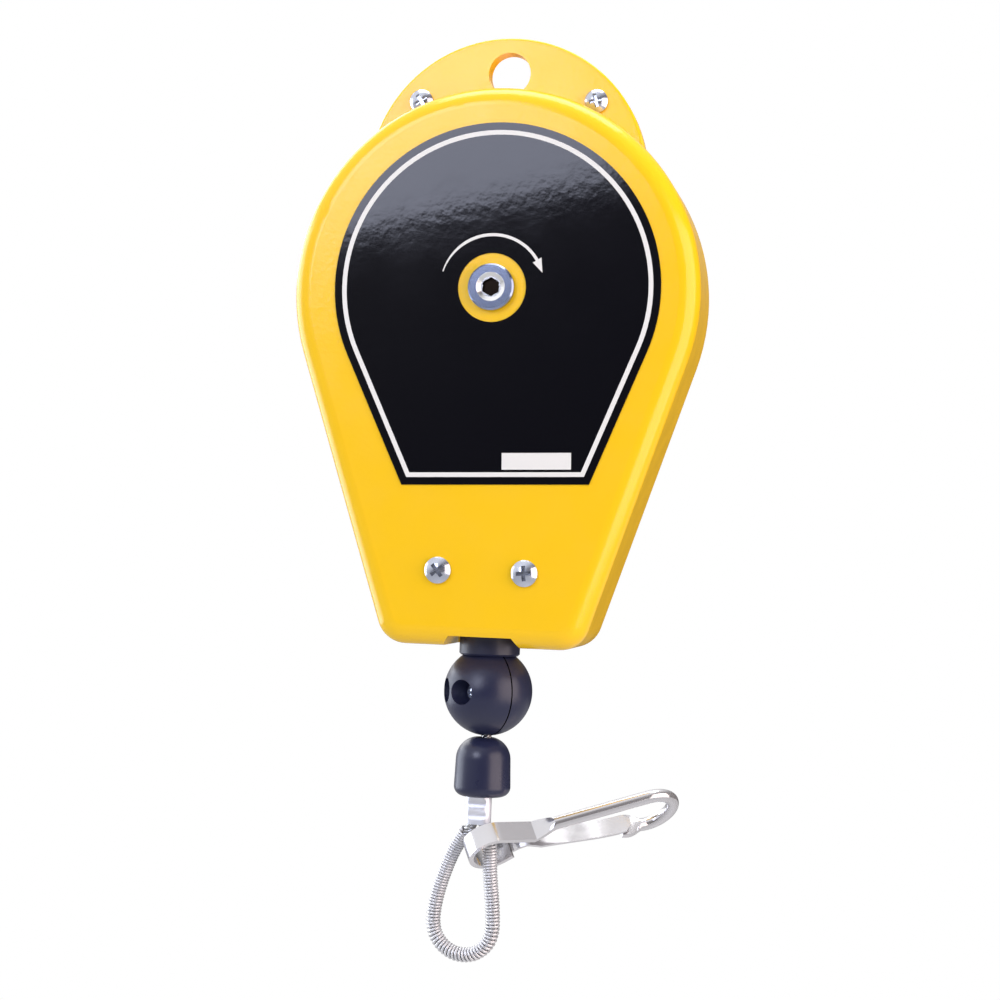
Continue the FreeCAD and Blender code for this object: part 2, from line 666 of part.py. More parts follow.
def cover_screw_places():
    radius = DRUM_INNER - COVER_BOSS_RADIUS + 0.5
    places = []
    for k in range(COVER_SCREWS):
        turn = math.radians(45 + 360 / COVER_SCREWS * k)
        places.append(HUB + V(radius * math.cos(turn), 0, radius * math.sin(turn)))
    return places


def cover_seat_radius():
    return DRUM_INNER + DRUM_WALL / 2


def drum():
    """Grooved barrel with a rear web; the power spring lies inside it."""
    lip = WIND_RADIUS + DRUM_LIP
    land = WIND_RADIUS + 0.2
    body = hub_disc(lip, -DRUM_HALF, DRUM_HALF)
    waist = GROOVES * GROOVE_PITCH / 2
    body = body.cut(hub_disc(lip + 1, -waist, waist, land))
    ring = Part.makeTorus(WIND_RADIUS, ROPE_RADIUS + SEAT_FIT, HUB, Y)
    grooves = []
    for k in range(GROOVES):
        groove = ring.copy()
        groove.translate(Y * groove_y(k))
        grooves.append(groove)
    body = body.cut(grooves[0].multiFuse(grooves[1:]))
    inside = hub_disc(DRUM_INNER, -DRUM_HALF - 1, WEB_INSIDE)
    bosses = [cylinder(COVER_BOSS_RADIUS, p + Y * COVER_INSIDE, p + Y * WEB_INSIDE)
              for p in cover_screw_places()]
    body = body.cut(inside.cut(bosses[0].multiFuse(bosses[1:])))
    body = body.cut(hub_disc(cover_seat_radius(), -DRUM_HALF - 1, COVER_INSIDE))
    body = body.fuse(hub_disc(DRUM_HUB_RADIUS, HUB_INSIDE, DRUM_HALF))
    holes = [hub_disc(drum_bush_outer() + SEAT_FIT, HUB_INSIDE - 1, DRUM_HALF + 1)]
    for p in cover_screw_places():
        holes.append(cylinder(COVER_SCREW_RADIUS + SEAT_FIT, p - Y * DRUM_HALF, p - Y * 2))
    anchor = anchor_place()
    holes.append(cylinder(ANCHOR_RADIUS + SEAT_FIT, anchor, anchor + Y * (DRUM_HALF + 1)))
    start = stop_place()
    holes.append(cylinder(ROPE_RADIUS + SEAT_FIT, start, start - X * 2 * DRUM_WALL * 2))
    return body.cut(holes[0].multiFuse(holes[1:])).removeSplitter()


def drum_bush_outer():
    return DRUM_SEAT_RADIUS + RUNNING_FIT + BUSH_WALL


def drum_bush():
    return hub_disc(drum_bush_outer(), HUB_INSIDE, DRUM_HALF, DRUM_SEAT_RADIUS + RUNNING_FIT)


def drum_cover():
    """Pressed steel lid over the spring."""
    lid = hub_disc(cover_seat_radius() - JOINT_GAP, -DRUM_HALF, COVER_INSIDE,
                   DRUM_SEAT_RADIUS + RUNNING_FIT)
    holes = [cylinder(COVER_SCREW_RADIUS + SEAT_FIT, p - Y * 30, p) for p in cover_screw_places()]
    return lid.cut(holes[0].multiFuse(holes[1:]))


def drum_cover_screws():
    screws = []
    for p in cover_screw_places():
        under = p - Y * DRUM_HALF
        head = pan_head(COVER_HEAD_RADIUS, COVER_HEAD_HEIGHT, under, -Y)
        screws.append(head.fuse(cylinder(COVER_SCREW_RADIUS, under, p - Y * 3)).removeSplitter())
    return Part.makeCompound(screws)


# ---- power spring ----
def strip_start():
    return COVER_INSIDE + 1.0


def strip_end():
    return HUB_INSIDE - 0.5


def anchor_place():
    radius = DRUM_INNER - ANCHOR_RADIUS - STRIP - 2 * FREE_GAP - 0.5
    return HUB + X * radius


def anchor_pin():
    place = anchor_place()
    return cylinder(ANCHOR_RADIUS, place + Y * strip_start(), place + Y * (DRUM_HALF - 0.2))


def half_turn(centre_x, radius, upward):
    """Half circle about a point on the X axis of the hub."""
    sign = 1 if upward else -1
    centre = HUB + X * centre_x
    return Part.Arc(centre + X * radius, centre + Z * (sign * radius), centre - X * radius).toShape()


def power_spring():
    """Spiral strip from a tang in the arbor's slot out to an eye round the anchor pin."""
    eye = ANCHOR_RADIUS + FREE_GAP + STRIP / 2
    outer = (anchor_place() - HUB).x - eye
    inner = SPRING_SEAT_RADIUS + COIL_GAP
    pitch = (outer - inner) / STRIP_TURNS
    edges = [half_turn(outer + eye, eye - STRIP / 2, True), half_turn(outer + eye, eye + STRIP / 2, True)]
    for k in range(2 * STRIP_TURNS):
        radius = outer - pitch / 4 - k * pitch / 2
        centre = pitch / 4 * (1 if k % 2 == 0 else -1)
        for side in (-STRIP / 2, STRIP / 2):
            edges.append(half_turn(centre, radius + side, k % 2 == 1))
    for radius in (inner, outer + 2 * eye):
        edges.append(Part.LineSegment(HUB + X * (radius - STRIP / 2),
                                      HUB + X * (radius + STRIP / 2)).toShape())
    band = Part.Face(Part.Wire(Part.__sortEdges__(edges)))
    band.translate(Y * strip_start())
    width = strip_end() - strip_start()
    tang_start = SPRING_SEAT_RADIUS - TANG_DEPTH
    tang = Part.makeBox(inner - tang_start, width, STRIP, HUB + V(tang_start, strip_start(), -STRIP / 2))
    return band.extrude(Y * width).fuse(tang).removeSplitter()


# ---- rope ----
def stop_place():
    """Rope end inside the drum, level with the last groove."""
    return HUB - X * (DRUM_INNER - STOP_RADIUS - FREE_GAP) + Y * min(groove_y(GROOVES - 1), WEB_INSIDE - 3)


def rope_wraps():
    """Turns of rope on the drum."""
    ring = Part.makeTorus(WIND_RADIUS, ROPE_RADIUS, HUB, Y)
    turns = []
    for k in range(GROOVES - WRAPS, GROOVES):
        turn = ring.copy()
        turn.translate(Y * groove_y(k))
        turns.append(turn)
    return Part.makeCompound(turns)


def rope_stop():
    """Crimped stop on the rope's inner end."""
    place = stop_place()
    return cylinder(STOP_RADIUS, place - Z * STOP_LENGTH / 2, place + Z * STOP_LENGTH / 2)


def guide_entry():
    """Point on the guide's axis where the rope turns down."""
    return Z * (BLOCK_TOP + FLANGE_HEIGHT)


def feed_route():
    """Tangent to the drum on the left, then to the guide, then straight down."""
    turn = guide_entry()
    reach = (turn - HUB).Length
    angle = math.acos((WIND_RADIUS + SEAT_FIT) / reach)
    leave = HUB + V(-math.sin(angle), 0, -math.cos(angle)) * (WIND_RADIUS + SEAT_FIT)
    leave = leave + Y * groove_y(GROOVES - WRAPS - 1)
    along = V(math.cos(angle), 0, -math.sin(angle))
    return [leave, leave + along * FEED_STRAIGHT, turn, Z * ROPE_IN_Z]


def rope_feed():
    return tube(feed_route(), FEED_BENDS, ROPE_RADIUS)


def rope_run():
    """Rope between the guide and the ball; it lengthens as the hook is pulled down."""
    return cylinder(ROPE_RADIUS, Z * rope_run_foot(), Z * ROPE_IN_Z)


def rope_run_foot():
    return BALL_Z + BALL_RADIUS - 2


# ---- rope guide ----
def rope_guide():
    """Flanged plastic eye with a bell mouth above and a seat for the ball below."""
    top = BLOCK_TOP + FREE_GAP + FLANGE_HEIGHT
    profile = [(THROAT_RADIUS, COLLAR_RIM), (COLLAR_RADIUS - 0.6, COLLAR_RIM),
               (COLLAR_RADIUS, COLLAR_RIM + 0.6), (COLLAR_RADIUS, COLLAR_TOP),
               (NECK_RADIUS, COLLAR_TOP), (NECK_RADIUS, top - FLANGE_HEIGHT),
               (FLANGE_RADIUS, top - FLANGE_HEIGHT), (FLANGE_RADIUS, top), (THROAT_RADIUS, top)]
    body = turned(profile, V(0, 0, 0), Z, X)
    depth = MOUTH_RADIUS - THROAT_RADIUS
    bell = Part.makeCylinder(MOUTH_RADIUS, depth, Z * (top - depth), Z)
    lip = Part.makeTorus(MOUTH_RADIUS, depth, Z * (top - depth), Z)
    seat = Part.makeSphere(BALL_RADIUS + FREE_GAP, Z * BALL_Z)
    return body.cut(bell.cut(lip)).cut(seat)


# ---- stop ball ----
def ball_axis():
    """Direction that the ball's screw heads face."""
    turn = math.radians(BALL_SPLIT_ANGLE)
    return V(-math.sin(turn), -math.cos(turn), 0)


def ball_screw_places():
    along = ball_axis().cross(Z)
    return [Z * BALL_Z + along * (side * BALL_SCREW_OFFSET) for side in (-1, 1)]


def ball_half(side):
    """Half of the ball on one side of its split plane, with a bevelled seam."""
    centre = Z * BALL_Z
    out = ball_axis() * side
    ball = Part.makeSphere(BALL_RADIUS, centre)
    keep = cylinder(2 * BALL_RADIUS, centre + out * (JOINT_GAP / 2), centre + out * 2 * BALL_RADIUS)
    half = ball.common(keep)
    bevel = BALL_RADIUS - SEAM_BEVEL
    seam = turned([(bevel, -SEAM_BEVEL), (BALL_RADIUS + 1, -SEAM_BEVEL), (BALL_RADIUS + 1, 1.3), ],
                  centre, out, Z)
    half = half.cut(seam)
    rope_hole = cylinder(ROPE_RADIUS + SEAT_FIT, Z * (BALL_Z - 2 * BALL_RADIUS), Z * BALL_Z)
    wide = cylinder(ROPE_RADIUS + FREE_GAP, Z * BALL_Z, Z * (BALL_Z + 2 * BALL_RADIUS))
    return half.cut(rope_hole.fuse(wide))


def ball_front_half():
    """Half with the screw heads sunk in counterbores."""
    half = ball_half(1)
    cuts = []
    for p in ball_screw_places():
        floor = p + ball_axis() * BALL_GRIP
        cuts.append(cylinder(BALL_SCREW_RADIUS + SEAT_FIT, p - ball_axis(), floor))
        cuts.append(cylinder(BALL_COUNTERBORE, floor, floor + ball_axis() * BALL_RADIUS))
    return half.cut(cuts[0].multiFuse(cuts[1:]))


def ball_rear_half():
    """Half with pockets for the nuts."""
    half = ball_half(-1)
    cuts = []
    for p in ball_screw_places():
        floor = p - ball_axis() * BALL_GRIP
        cuts.append(cylinder(BALL_SCREW_RADIUS + SEAT_FIT, p + ball_axis(), floor))
        cuts.append(hexagon(BALL_NUT_ACROSS + 2 * SEAT_FIT, floor, -ball_axis(), BALL_RADIUS))
    return half.cut(cuts[0].multiFuse(cuts[1:]))


def ball_screws():
    screws = []
    for p in ball_screw_places():
        under = p + ball_axis() * BALL_GRIP
        head = pan_head(BALL_HEAD_RADIUS, BALL_HEAD_HEIGHT, under, ball_axis())
        end = p - ball_axis() * (BALL_GRIP + BALL_NUT_HEIGHT)
        screws.append(head.fuse(cylinder(BALL_SCREW_RADIUS, under, end)).removeSplitter())
    return Part.makeCompound(screws)


def ball_nuts():
    nuts = []
    for p in ball_screw_places():
        nut = hexagon(BALL_NUT_ACROSS, p - ball_axis() * BALL_GRIP, -ball_axis(), BALL_NUT_HEIGHT)
        nuts.append(nut.cut(cylinder(BALL_SCREW_RADIUS + SEAT_FIT, p, p - ball_axis() * 20)))
    return Part.makeCompound(nuts)


# ---- rope end ----
def rope_cap():
    """Bell-shaped cap over the top of the ferrule, drawn as half a section and turned."""
    wall, h, foot = CAP_RADIUS, CAP_HEIGHT, CAP_FOOT_ROUND
    centre = V(-CAP_SHIFT, 0, CAP_FOOT)
    at = lambda radius, height: centre + X * radius + Z * height
    diagonal = foot * (1 - math.sqrt(0.5))
    edges = [Part.LineSegment(centre, at(wall - foot, 0)).toShape(),
             Part.Arc(at(wall - foot, 0), at(wall - diagonal, diagonal), at(wall, foot)).toShape(),
             Part.LineSegment(at(wall, foot), at(wall - CAP_TAPER, h - CAP_DOME)).toShape(),
             Part.Arc(at(wall - CAP_TAPER, h - CAP_DOME), at(CAP_BULGE_RADIUS, h - CAP_BULGE_DROP),
                      at(CAP_TOP_RADIUS, h)).toShape(),
             Part.LineSegment(at(CAP_TOP_RADIUS, h), at(0, h)).toShape(),
             Part.LineSegment(at(0, h), centre).toShape()]
    body = Part.Face(Part.Wire(edges)).revolve(centre, Z, 360)
    cavity = cylinder(CAP_CAVITY_RADIUS, centre - Z, centre + Z * CAP_CAVITY_DEPTH)
    hole = cylinder(ROPE_RADIUS + CAP_SHIFT + FREE_GAP, centre, centre + Z * (h + 1))
    return body.cut(cavity.fuse(hole))


def oval(half_width, half_depth, centre, height):
    """Upright bar of racetrack section."""
    flat = half_width - half_depth
    ends = [cylinder(half_depth, centre + X * (s * flat), centre + X * (s * flat) + Z * height)
            for s in (-1, 1)]
    middle = Part.makeBox(2 * flat, 2 * half_depth, height, centre - X * flat - Y * half_depth)
    return fuse([middle] + ends)


def ferrule():
    """Oval sleeve pressed over both legs of the rope, with two crimps."""
    centre = V(FERRULE_X, 0, FERRULE_FOOT)
    sleeve = oval(FERRULE_HALF_WIDTH, FERRULE_HALF_DEPTH, centre, FERRULE_HEIGHT)
    route = eye_route()
    passage = tube(route, natural_bends(route, EYE_END_REACH), ROPE_RADIUS + SEAT_FIT)
    crimps = []
    reach = 4 * FERRULE_HALF_WIDTH
    for height in CRIMP_RISES:
        for side in (-1, 1):
            y = side * (FERRULE_HALF_DEPTH + CRIMP_RADIUS - CRIMP_DEPTH)
            z = FERRULE_FOOT + height
            crimps.append(cylinder(CRIMP_RADIUS, V(-reach, y, z), V(reach, y, z)))
    return sleeve.cut(passage.multiFuse(crimps))


def leg_xs():
    """Rope's two passages through the ferrule."""
    return [0.0, 2 * FERRULE_X]


def eye_route():
    """Down through ball, cap and ferrule, round the twisted eye and back up the ferrule."""
    foot = FERRULE_FOOT
    left = leg_xs()[1]
    low = foot - EYE_LENGTH
    middle = (EYE_RIGHT - EYE_LEFT) / 2
    loop = [V(0, 0, foot - EYE_LEG_START), V(EYE_LEG, 0, foot - EYE_LEG_TOP),
            V(EYE_LEG, 0, foot - EYE_LEG_FOOT), V(EYE_RIGHT, 0, low + EYE_CORNER + EYE_SIDE),
            V(EYE_RIGHT, 0, low + EYE_CORNER), V(middle + EYE_FOOT_HALF, 0, low),
            V(middle - EYE_FOOT_HALF, 0, low), V(-EYE_LEFT, 0, low + EYE_CORNER),
            V(-EYE_LEFT, 0, low + EYE_CORNER + EYE_SIDE), V(-EYE_SHOULDER, 0, foot - EYE_SHOULDER_DROP),
            V(-EYE_SLANT, 0, foot - EYE_SLANT_DROP), V(left, 0, foot - EYE_LEG_START)]
    twist = FreeCAD.Placement(V(0, 0, 0), FreeCAD.Rotation(Z, -EYE_TWIST), V(FERRULE_X, 0, 0))
    loop = loop[:1] + [twist.multVec(p) for p in loop[1:-1]] + loop[-1:]
    return [Z * (rope_run_foot() - 0.2)] + loop + [V(left, 0, foot + FERRULE_HEIGHT + 1)]


def eye_rope():
    route = eye_route()
    return tube(route, natural_bends(route, EYE_END_REACH), ROPE_RADIUS)


def eye_sleeve():
    """Close-wound wire sleeve round the eye, as one tube of its outer size."""
    route = eye_route()
    bends = natural_bends(route, EYE_END_REACH)[1:-1]
    route = route[1:-1]
    route[0] = (route[0] + route[1]) * 0.5
    route[-1] = (route[-1] + route[-2]) * 0.5
    outer = tube(route, bends, SLEEVE_RADIUS)
    return outer.cut(tube(route, bends, SLEEVE_RADIUS - SLEEVE_WALL))


# ---- snap hook, drawn flat in its own plane and then placed on the eye ----
def hook_frame():
    """Directions of the hook: along it, towards its gate, and across the strip."""
    heading, rise, roll = (math.radians(a) for a in (HOOK_HEADING, HOOK_RISE, HOOK_ROLL))
    along = V(math.cos(heading) * math.cos(rise), math.sin(heading) * math.cos(rise), math.sin(rise))
    level = V(-math.sin(heading), math.cos(heading), 0)
    upward = along.cross(level)
    gate = level * math.cos(roll) - upward * math.sin(roll)
    return along, gate, along.cross(gate)


def hook_origin():
    """Centre of the hook's eye, on the right leg of the rope eye."""
    leg = eye_route()[2]
    return V(leg.x, leg.y, FERRULE_FOOT - HOOK_DROP)


def place_hook(shape):
    along, gate, across = hook_frame()
    shape = shape.copy()
    shape.Placement = FreeCAD.Placement(FreeCAD.Matrix(
        along.x, gate.x, across.x, hook_origin().x,
        along.y, gate.y, across.y, hook_origin().y,
        along.z, gate.z, across.z, hook_origin().z, 0, 0, 0, 1))
    return shape


def flat_strip(start, end, thickness, width):
    """Straight piece of flat strip between two points of the hook's plane."""
    side = (end - start).normalize().cross(Z) * (thickness / 2)
    low = -Z * (width / 2)
    return polygon([p + low for p in (start - side, end - side, end + side, start + side)]
                   ).extrude(Z * width)


def tangent_turn(point, side):
    """Angle at which a straight strip through a point leaves the eye's ring."""
    reach = math.hypot(point.x, point.y)
    return side * math.acos(RING_RADIUS / reach) + math.atan2(point.y, point.x)


def ring_point(turn, radius=RING_RADIUS):
    return V(radius * math.cos(turn), radius * math.sin(turn), 0)


def hook_eye():
    """Strip bent into a ring, with one end to the neck and one to the gate's waist."""
    neck = V(NECK_REACH, -NECK_SIDE, 0)
    waist = V(LEAF_ROOT, LEAF_SIDE, 0)
    low = tangent_turn(neck, -1)
    high = tangent_turn(waist, 1)
    half = HOOK_STRIP / 2
    ring = Part.makeCylinder(RING_RADIUS + half, STRIP_WIDTH, Z * (-STRIP_WIDTH / 2)).cut(
        Part.makeCylinder(RING_RADIUS - half, STRIP_WIDTH + 2, Z * (-STRIP_WIDTH / 2 - 1)))
    far = 3 * RING_RADIUS
    wedge = polygon([V(0, 0, -far), ring_point(low, far) - Z * far, V(far, 0, -far),
                     ring_point(high, far) - Z * far]).extrude(Z * 2 * far)
    return [ring.cut(wedge), flat_strip(ring_point(low), neck, HOOK_STRIP, STRIP_WIDTH),
            flat_strip(ring_point(high), waist, HOOK_STRIP, STRIP_WIDTH)]


def four_sided(centre, heading, half_thick, half_wide, rounded):
    """Closed section across the strip: a rectangle, or a circle in four matching arcs."""
    side = heading.cross(Z).normalize()
    corners = [centre + side * (a * half_thick) + Z * (b * half_wide)
               for a, b in ((-1, -1), (1, -1), (1, 1), (-1, 1))]
    if not rounded:
        return Part.makePolygon(corners + [corners[0]])
    mids = [centre + side * a * half_thick * math.sqrt(2) + Z * b * half_wide * math.sqrt(2)
            for a, b in ((0, -1), (1, 0), (0, 1), (-1, 0))]
    return Part.Wire([Part.Arc(corners[k], mids[k], corners[(k + 1) % 4]).toShape() for k in range(4)])


def hook_body():
    """Eye, neck, round bar and nose of the hook in one bent piece."""
    neck = V(NECK_REACH, -NECK_SIDE, 0)
    heading = (neck - ring_point(tangent_turn(neck, -1))).normalize()
    splay = math.radians(-BAR_SPLAY)
    run = V(math.cos(splay), math.sin(splay), 0)
    start = V(BAR_START, -BAR_START_SIDE, 0)
    between = (neck + start) * 0.5
    corner = BAR_RADIUS / math.sqrt(2)
    sections = [four_sided(neck, heading, HOOK_STRIP / 2, STRIP_WIDTH / 2, False),
                four_sided(between, (heading + run).normalize(), NECK_THICK / 2, NECK_WIDE / 2, False),
                four_sided(start, run, corner, corner, True)]
    taper = Part.makeLoft(sections, True, False)
    end = start + run * BAR_LENGTH
    centre = end + V(-run.y, run.x, 0) * BEND_RADIUS
    sweep = math.radians(BEND_TURN)
    first = splay - math.pi / 2
    bend_end = centre + V(math.cos(first + sweep), math.sin(first + sweep), 0) * BEND_RADIUS
    bend_mid = centre + V(math.cos(first + sweep / 2), math.sin(first + sweep / 2), 0) * BEND_RADIUS
    nose = V(math.cos(splay + sweep), math.sin(splay + sweep), 0)
    tip = bend_end + nose * NOSE_LENGTH
    flattened = [four_sided(bend_end, nose, corner, corner, True),
                 four_sided((bend_end + tip) * 0.5, nose, NOSE_THICK / 2, NOSE_WIDE / 2, False),
                 four_sided(tip, nose, NOSE_THICK / 2, NOSE_WIDE / 2, False)]
    path = Part.Wire([Part.LineSegment(start, end).toShape(), Part.Arc(end, bend_mid, bend_end).toShape()])
    rod = path.makePipeShell([Part.Wire(Part.makeCircle(BAR_RADIUS, start, run))], True, False)
    far = 4 * RING_RADIUS
    flat = leaf_band(LEAF / 2 + FREE_GAP, 2 * LEAF_WIDTH).cut(
        Part.makeBox(LEAF_TIP - 2 * NOSE_LENGTH, 2 * far, 2 * far, V(0, -far, -far)))
    body = fuse(hook_eye() + [taper, rod, Part.makeLoft(flattened, True, False)]).cut(flat)
    return place_hook(body)


def leaf_line():
    """Middle of the gate leaf, from its root to its tip."""
    root = V(LEAF_ROOT, LEAF_SIDE, 0)
    fall = V(LEAF_FALL, LEAF_FALL_SIDE, 0)
    return [root + (fall - root).normalize() * FREE_GAP, fall, V(LEAF_TURN, LEAF_TURN_SIDE, 0),
            V(LEAF_MIDDLE, LEAF_MIDDLE_SIDE, 0), V(LEAF_TIP, LEAF_TIP_SIDE, 0)]


def leaf_band(half, width):
    """The leaf's line with a thickness, across a width of the strip."""
    points = leaf_line()
    sides = []
    for k in range(len(points)):
        along = points[min(k + 1, len(points) - 1)] - points[max(k - 1, 0)]
        sides.append(V(-along.y, along.x, 0).normalize() * half)
    faces = []
    for sign in (1, -1):
        curve = Part.BSplineCurve()
        curve.interpolate([p + side * sign for p, side in zip(points, sides)])
        faces.append(curve.toShape())
    ends = [Part.LineSegment(points[k] + sides[k], points[k] - sides[k]).toShape() for k in (0, -1)]
    wire = Part.Wire([faces[0], ends[1], faces[1], ends[0]])
    band = Part.Face(wire).extrude(Z * width)
    band.translate(-Z * (width / 2))
    return band


def hook_gate():
    """Springy leaf: a narrow waist at the root, and a rounded tip under the nose."""
    root, tip, far = LEAF_ROOT, LEAF_TIP, -4 * RING_RADIUS
    wide, narrow, corner = LEAF_WIDTH / 2, WAIST_WIDTH / 2, LEAF_CORNER
    waist, flared = root + WAIST_LENGTH, root + WAIST_LENGTH + WAIST_FLARE
    half = [V(root, far, -narrow), V(waist, far, -narrow), V(flared, far, -wide),
            V(tip - corner, far, -wide), V(tip, far, corner - wide)]
    other = [V(p.x, p.y, -p.z) for p in reversed(half)]
    plan = polygon(half + other).extrude(Y * -2 * far)
    return place_hook(leaf_band(LEAF / 2, 2 * LEAF_WIDTH).common(plan))


NODES = {
    "front_cover": front_cover, "rear_housing": rear_housing, "name_plate": name_plate,
    "top_screws": top_screws, "top_nuts": top_nuts, "bottom_screws": bottom_screws,
    "front_bush": front_bush, "rear_bush": rear_bush, "arbor": arbor, "tension_bolt": tension_bolt,
    "ratchet_wheel": ratchet_wheel, "click_spring": click_spring, "click_screw": click_screw,
    "drum": drum, "drum_bush": drum_bush, "drum_cover": drum_cover,
    "drum_cover_screws": drum_cover_screws, "power_spring": power_spring, "anchor_pin": anchor_pin,
    "rope_wraps": rope_wraps, "rope_stop": rope_stop, "rope_feed": rope_feed, "rope_run": rope_run,
    "rope_guide": rope_guide, "ball_front_half": ball_front_half, "ball_rear_half": ball_rear_half,
    "ball_screws": ball_screws, "ball_nuts": ball_nuts, "rope_cap": rope_cap, "ferrule": ferrule,
    "eye_rope": eye_rope, "eye_sleeve": eye_sleeve, "hook_body": hook_body, "hook_gate": hook_gate,
}


def main():
    os.makedirs("parts", exist_ok=True)
    for name, make in NODES.items():
        shape = make()
        if not shape.isValid():
            print("invalid", name)
        shape.exportStep("parts/%s.step" % name)
        print(name, len(shape.Solids), round(shape.Volume, 1))
    cord_report("rope_feed", feed_route(), FEED_BENDS, ROPE_RADIUS)
    cord_report("eye_rope", eye_route(), natural_bends(eye_route(), EYE_END_REACH), ROPE_RADIUS)


main()
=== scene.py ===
import json
import math

import bmesh
import bpy
from mathutils import Matrix, Vector


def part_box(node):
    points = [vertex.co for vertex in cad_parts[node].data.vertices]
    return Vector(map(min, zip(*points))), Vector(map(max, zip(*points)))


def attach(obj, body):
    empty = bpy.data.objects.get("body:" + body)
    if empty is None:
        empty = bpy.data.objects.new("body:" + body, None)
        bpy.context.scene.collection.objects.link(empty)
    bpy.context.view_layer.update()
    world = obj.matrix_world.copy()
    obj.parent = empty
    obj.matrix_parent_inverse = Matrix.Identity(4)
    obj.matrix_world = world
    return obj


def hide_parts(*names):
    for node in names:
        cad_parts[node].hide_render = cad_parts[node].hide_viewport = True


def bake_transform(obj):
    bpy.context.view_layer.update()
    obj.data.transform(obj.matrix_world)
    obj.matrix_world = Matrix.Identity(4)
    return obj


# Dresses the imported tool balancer: a yellow cast casing with a black plate, a black stop ball,
# a wire rope eye in a close-wound sleeve, and a bright snap hook. Metres, in the part's own frame:
# the origin is the hang hole's centre, +Z is up and the front face looks along -Y.

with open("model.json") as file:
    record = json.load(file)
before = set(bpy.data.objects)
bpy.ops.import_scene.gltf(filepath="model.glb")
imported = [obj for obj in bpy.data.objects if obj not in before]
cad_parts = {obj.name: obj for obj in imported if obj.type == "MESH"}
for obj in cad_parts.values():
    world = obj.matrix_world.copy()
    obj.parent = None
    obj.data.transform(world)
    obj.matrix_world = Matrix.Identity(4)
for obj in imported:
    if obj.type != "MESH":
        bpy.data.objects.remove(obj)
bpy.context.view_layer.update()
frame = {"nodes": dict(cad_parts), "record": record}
MM = 0.001

# ---- camera ----
CAMERA_AT = Vector((0.1244, -0.6572, -0.1464))
CAMERA_AIM = Vector((0.0049, -0.0185, -0.1317))
CAMERA_LENS = 78.2
CAMERA_ROLL = 2.17        # degrees; the balancer hangs a little askew in the view

# ---- light: each lamp's place, target, size, power, colour and roll in degrees ----
LAMPS = {
    "key": ((-0.467, -1.2, 0.402), (0, 0, -0.1), (0.6, 0.6), 7, (0.76, 0.80, 1.0), 16),
    "fill": ((1.1, -0.45, 0.0), (0, 0, -0.12), (1.3, 1.2), 14, (1.0, 0.84, 0.78), 0),
    "left": ((-0.98, 0.2, -0.1), (0, 0, -0.12), (0.8, 0.9), 7, (0.82, 0.88, 1.0), 0),
    "top": ((0.0, 0.1, 0.9), (0, 0, -0.1), (0.9, 0.6), 7, (1, 1, 1), 0),
    "back": ((-0.75, 0.75, 0.45), (0, 0, -0.12), (0.8, 0.8), 4, (1, 1, 1), 0),
}
AMBIENT = 0.58            # strength of the world as soft light
ROOM_BRIGHT_SIDE = Vector((-0.6, 0.1, 0.8)).normalized()
ROOM_BRIGHT_FROM = 0.75   # cosine of the angle from that side, within which metal sees white
ROOM_DARK = 0.05          # strength of the rest of the room, as metal and gloss see it
FLOOR_LEVEL = -1.95       # below the hook when the whole rope is out
FLOOR_HALF = 8.0

# ---- rope: the route is the one that the solid follows ----
ROPE_RADIUS = 1.6 * MM
ROPE_LAY = 9 * MM         # length of rope in which a strand goes once round
ROPE_STRANDS = 6          # round a core strand
ROPE_STEP = 0.5 * MM      # between the rings of a strand's mesh
ROPE_CORNERS = 8          # of each ring
STRAND_GROWN = 1.02       # so that strands a third of the rope's size touch each other
SLEEVE_RADIUS = 2.35 * MM  # outside
SLEEVE_WIRE = 0.42 * MM   # radius of the wire that the sleeve is wound from
SLEEVE_PITCH = 0.88 * MM
SLEEVE_OPENED = 1.2 * MM  # pitch at the foot of the loop, where the bend opens it
SLEEVE_STEP = 0.06 * MM   # along the rope, between the rings of the sleeve's mesh
SLEEVE_CORNERS = 6
SLEEVE_START = 2.6 * MM   # below the ferrule
OPENING_POWER = 4         # keeps the wider pitch to the foot of the loop
EYE_TWIST = 17.0          # degrees about the ferrule's middle
ROUTE_STEPS = 16          # of the smooth curve between two points of the route
FERRULE_X = -1.65 * MM    # middle of the ferrule, between the rope's two legs
FERRULE_FOOT = -230.9 * MM
ROPE_STRAIGHT = 4 * MM    # of both legs, above the ferrule's foot
ROPE_END = 12 * MM        # of the short leg, above the ferrule's foot
# the eye before its twist: across, and from the ferrule's foot, in millimetres
EYE_FLAT = [(0, -1.0), (2.95, -4.6), (2.95, -13.5), (4.75, -26.0), (4.75, -35.0), (-1.375, -40.5),
            (-9.875, -40.5), (-16.0, -35.0), (-16.0, -26.0), (-11.7, -12.6), (-6.8, -3.6), (-3.3, -1.0)]

# ---- stop ball ----
PLASTIC = (0.018, 0.021, 0.055)    # of the guide and the cap too
BALL_SPLIT = 47.0         # degrees left of the front that the halves come apart
BALL_SEAM_SHADE = 0.22 * MM     # half width of the painted shade, to either side of the seam

# ---- tension bolt ----
BOLT_SHADED_SOCKET = 2.9 * MM    # radius within which the socket gets painted shade
BOLT_HIGHLIGHT_RIM = 4.4 * MM       # radius of the painted highlight on the rim round it
BOLT_LIP = 0.75 * MM      # depth at which the socket's painted shade begins
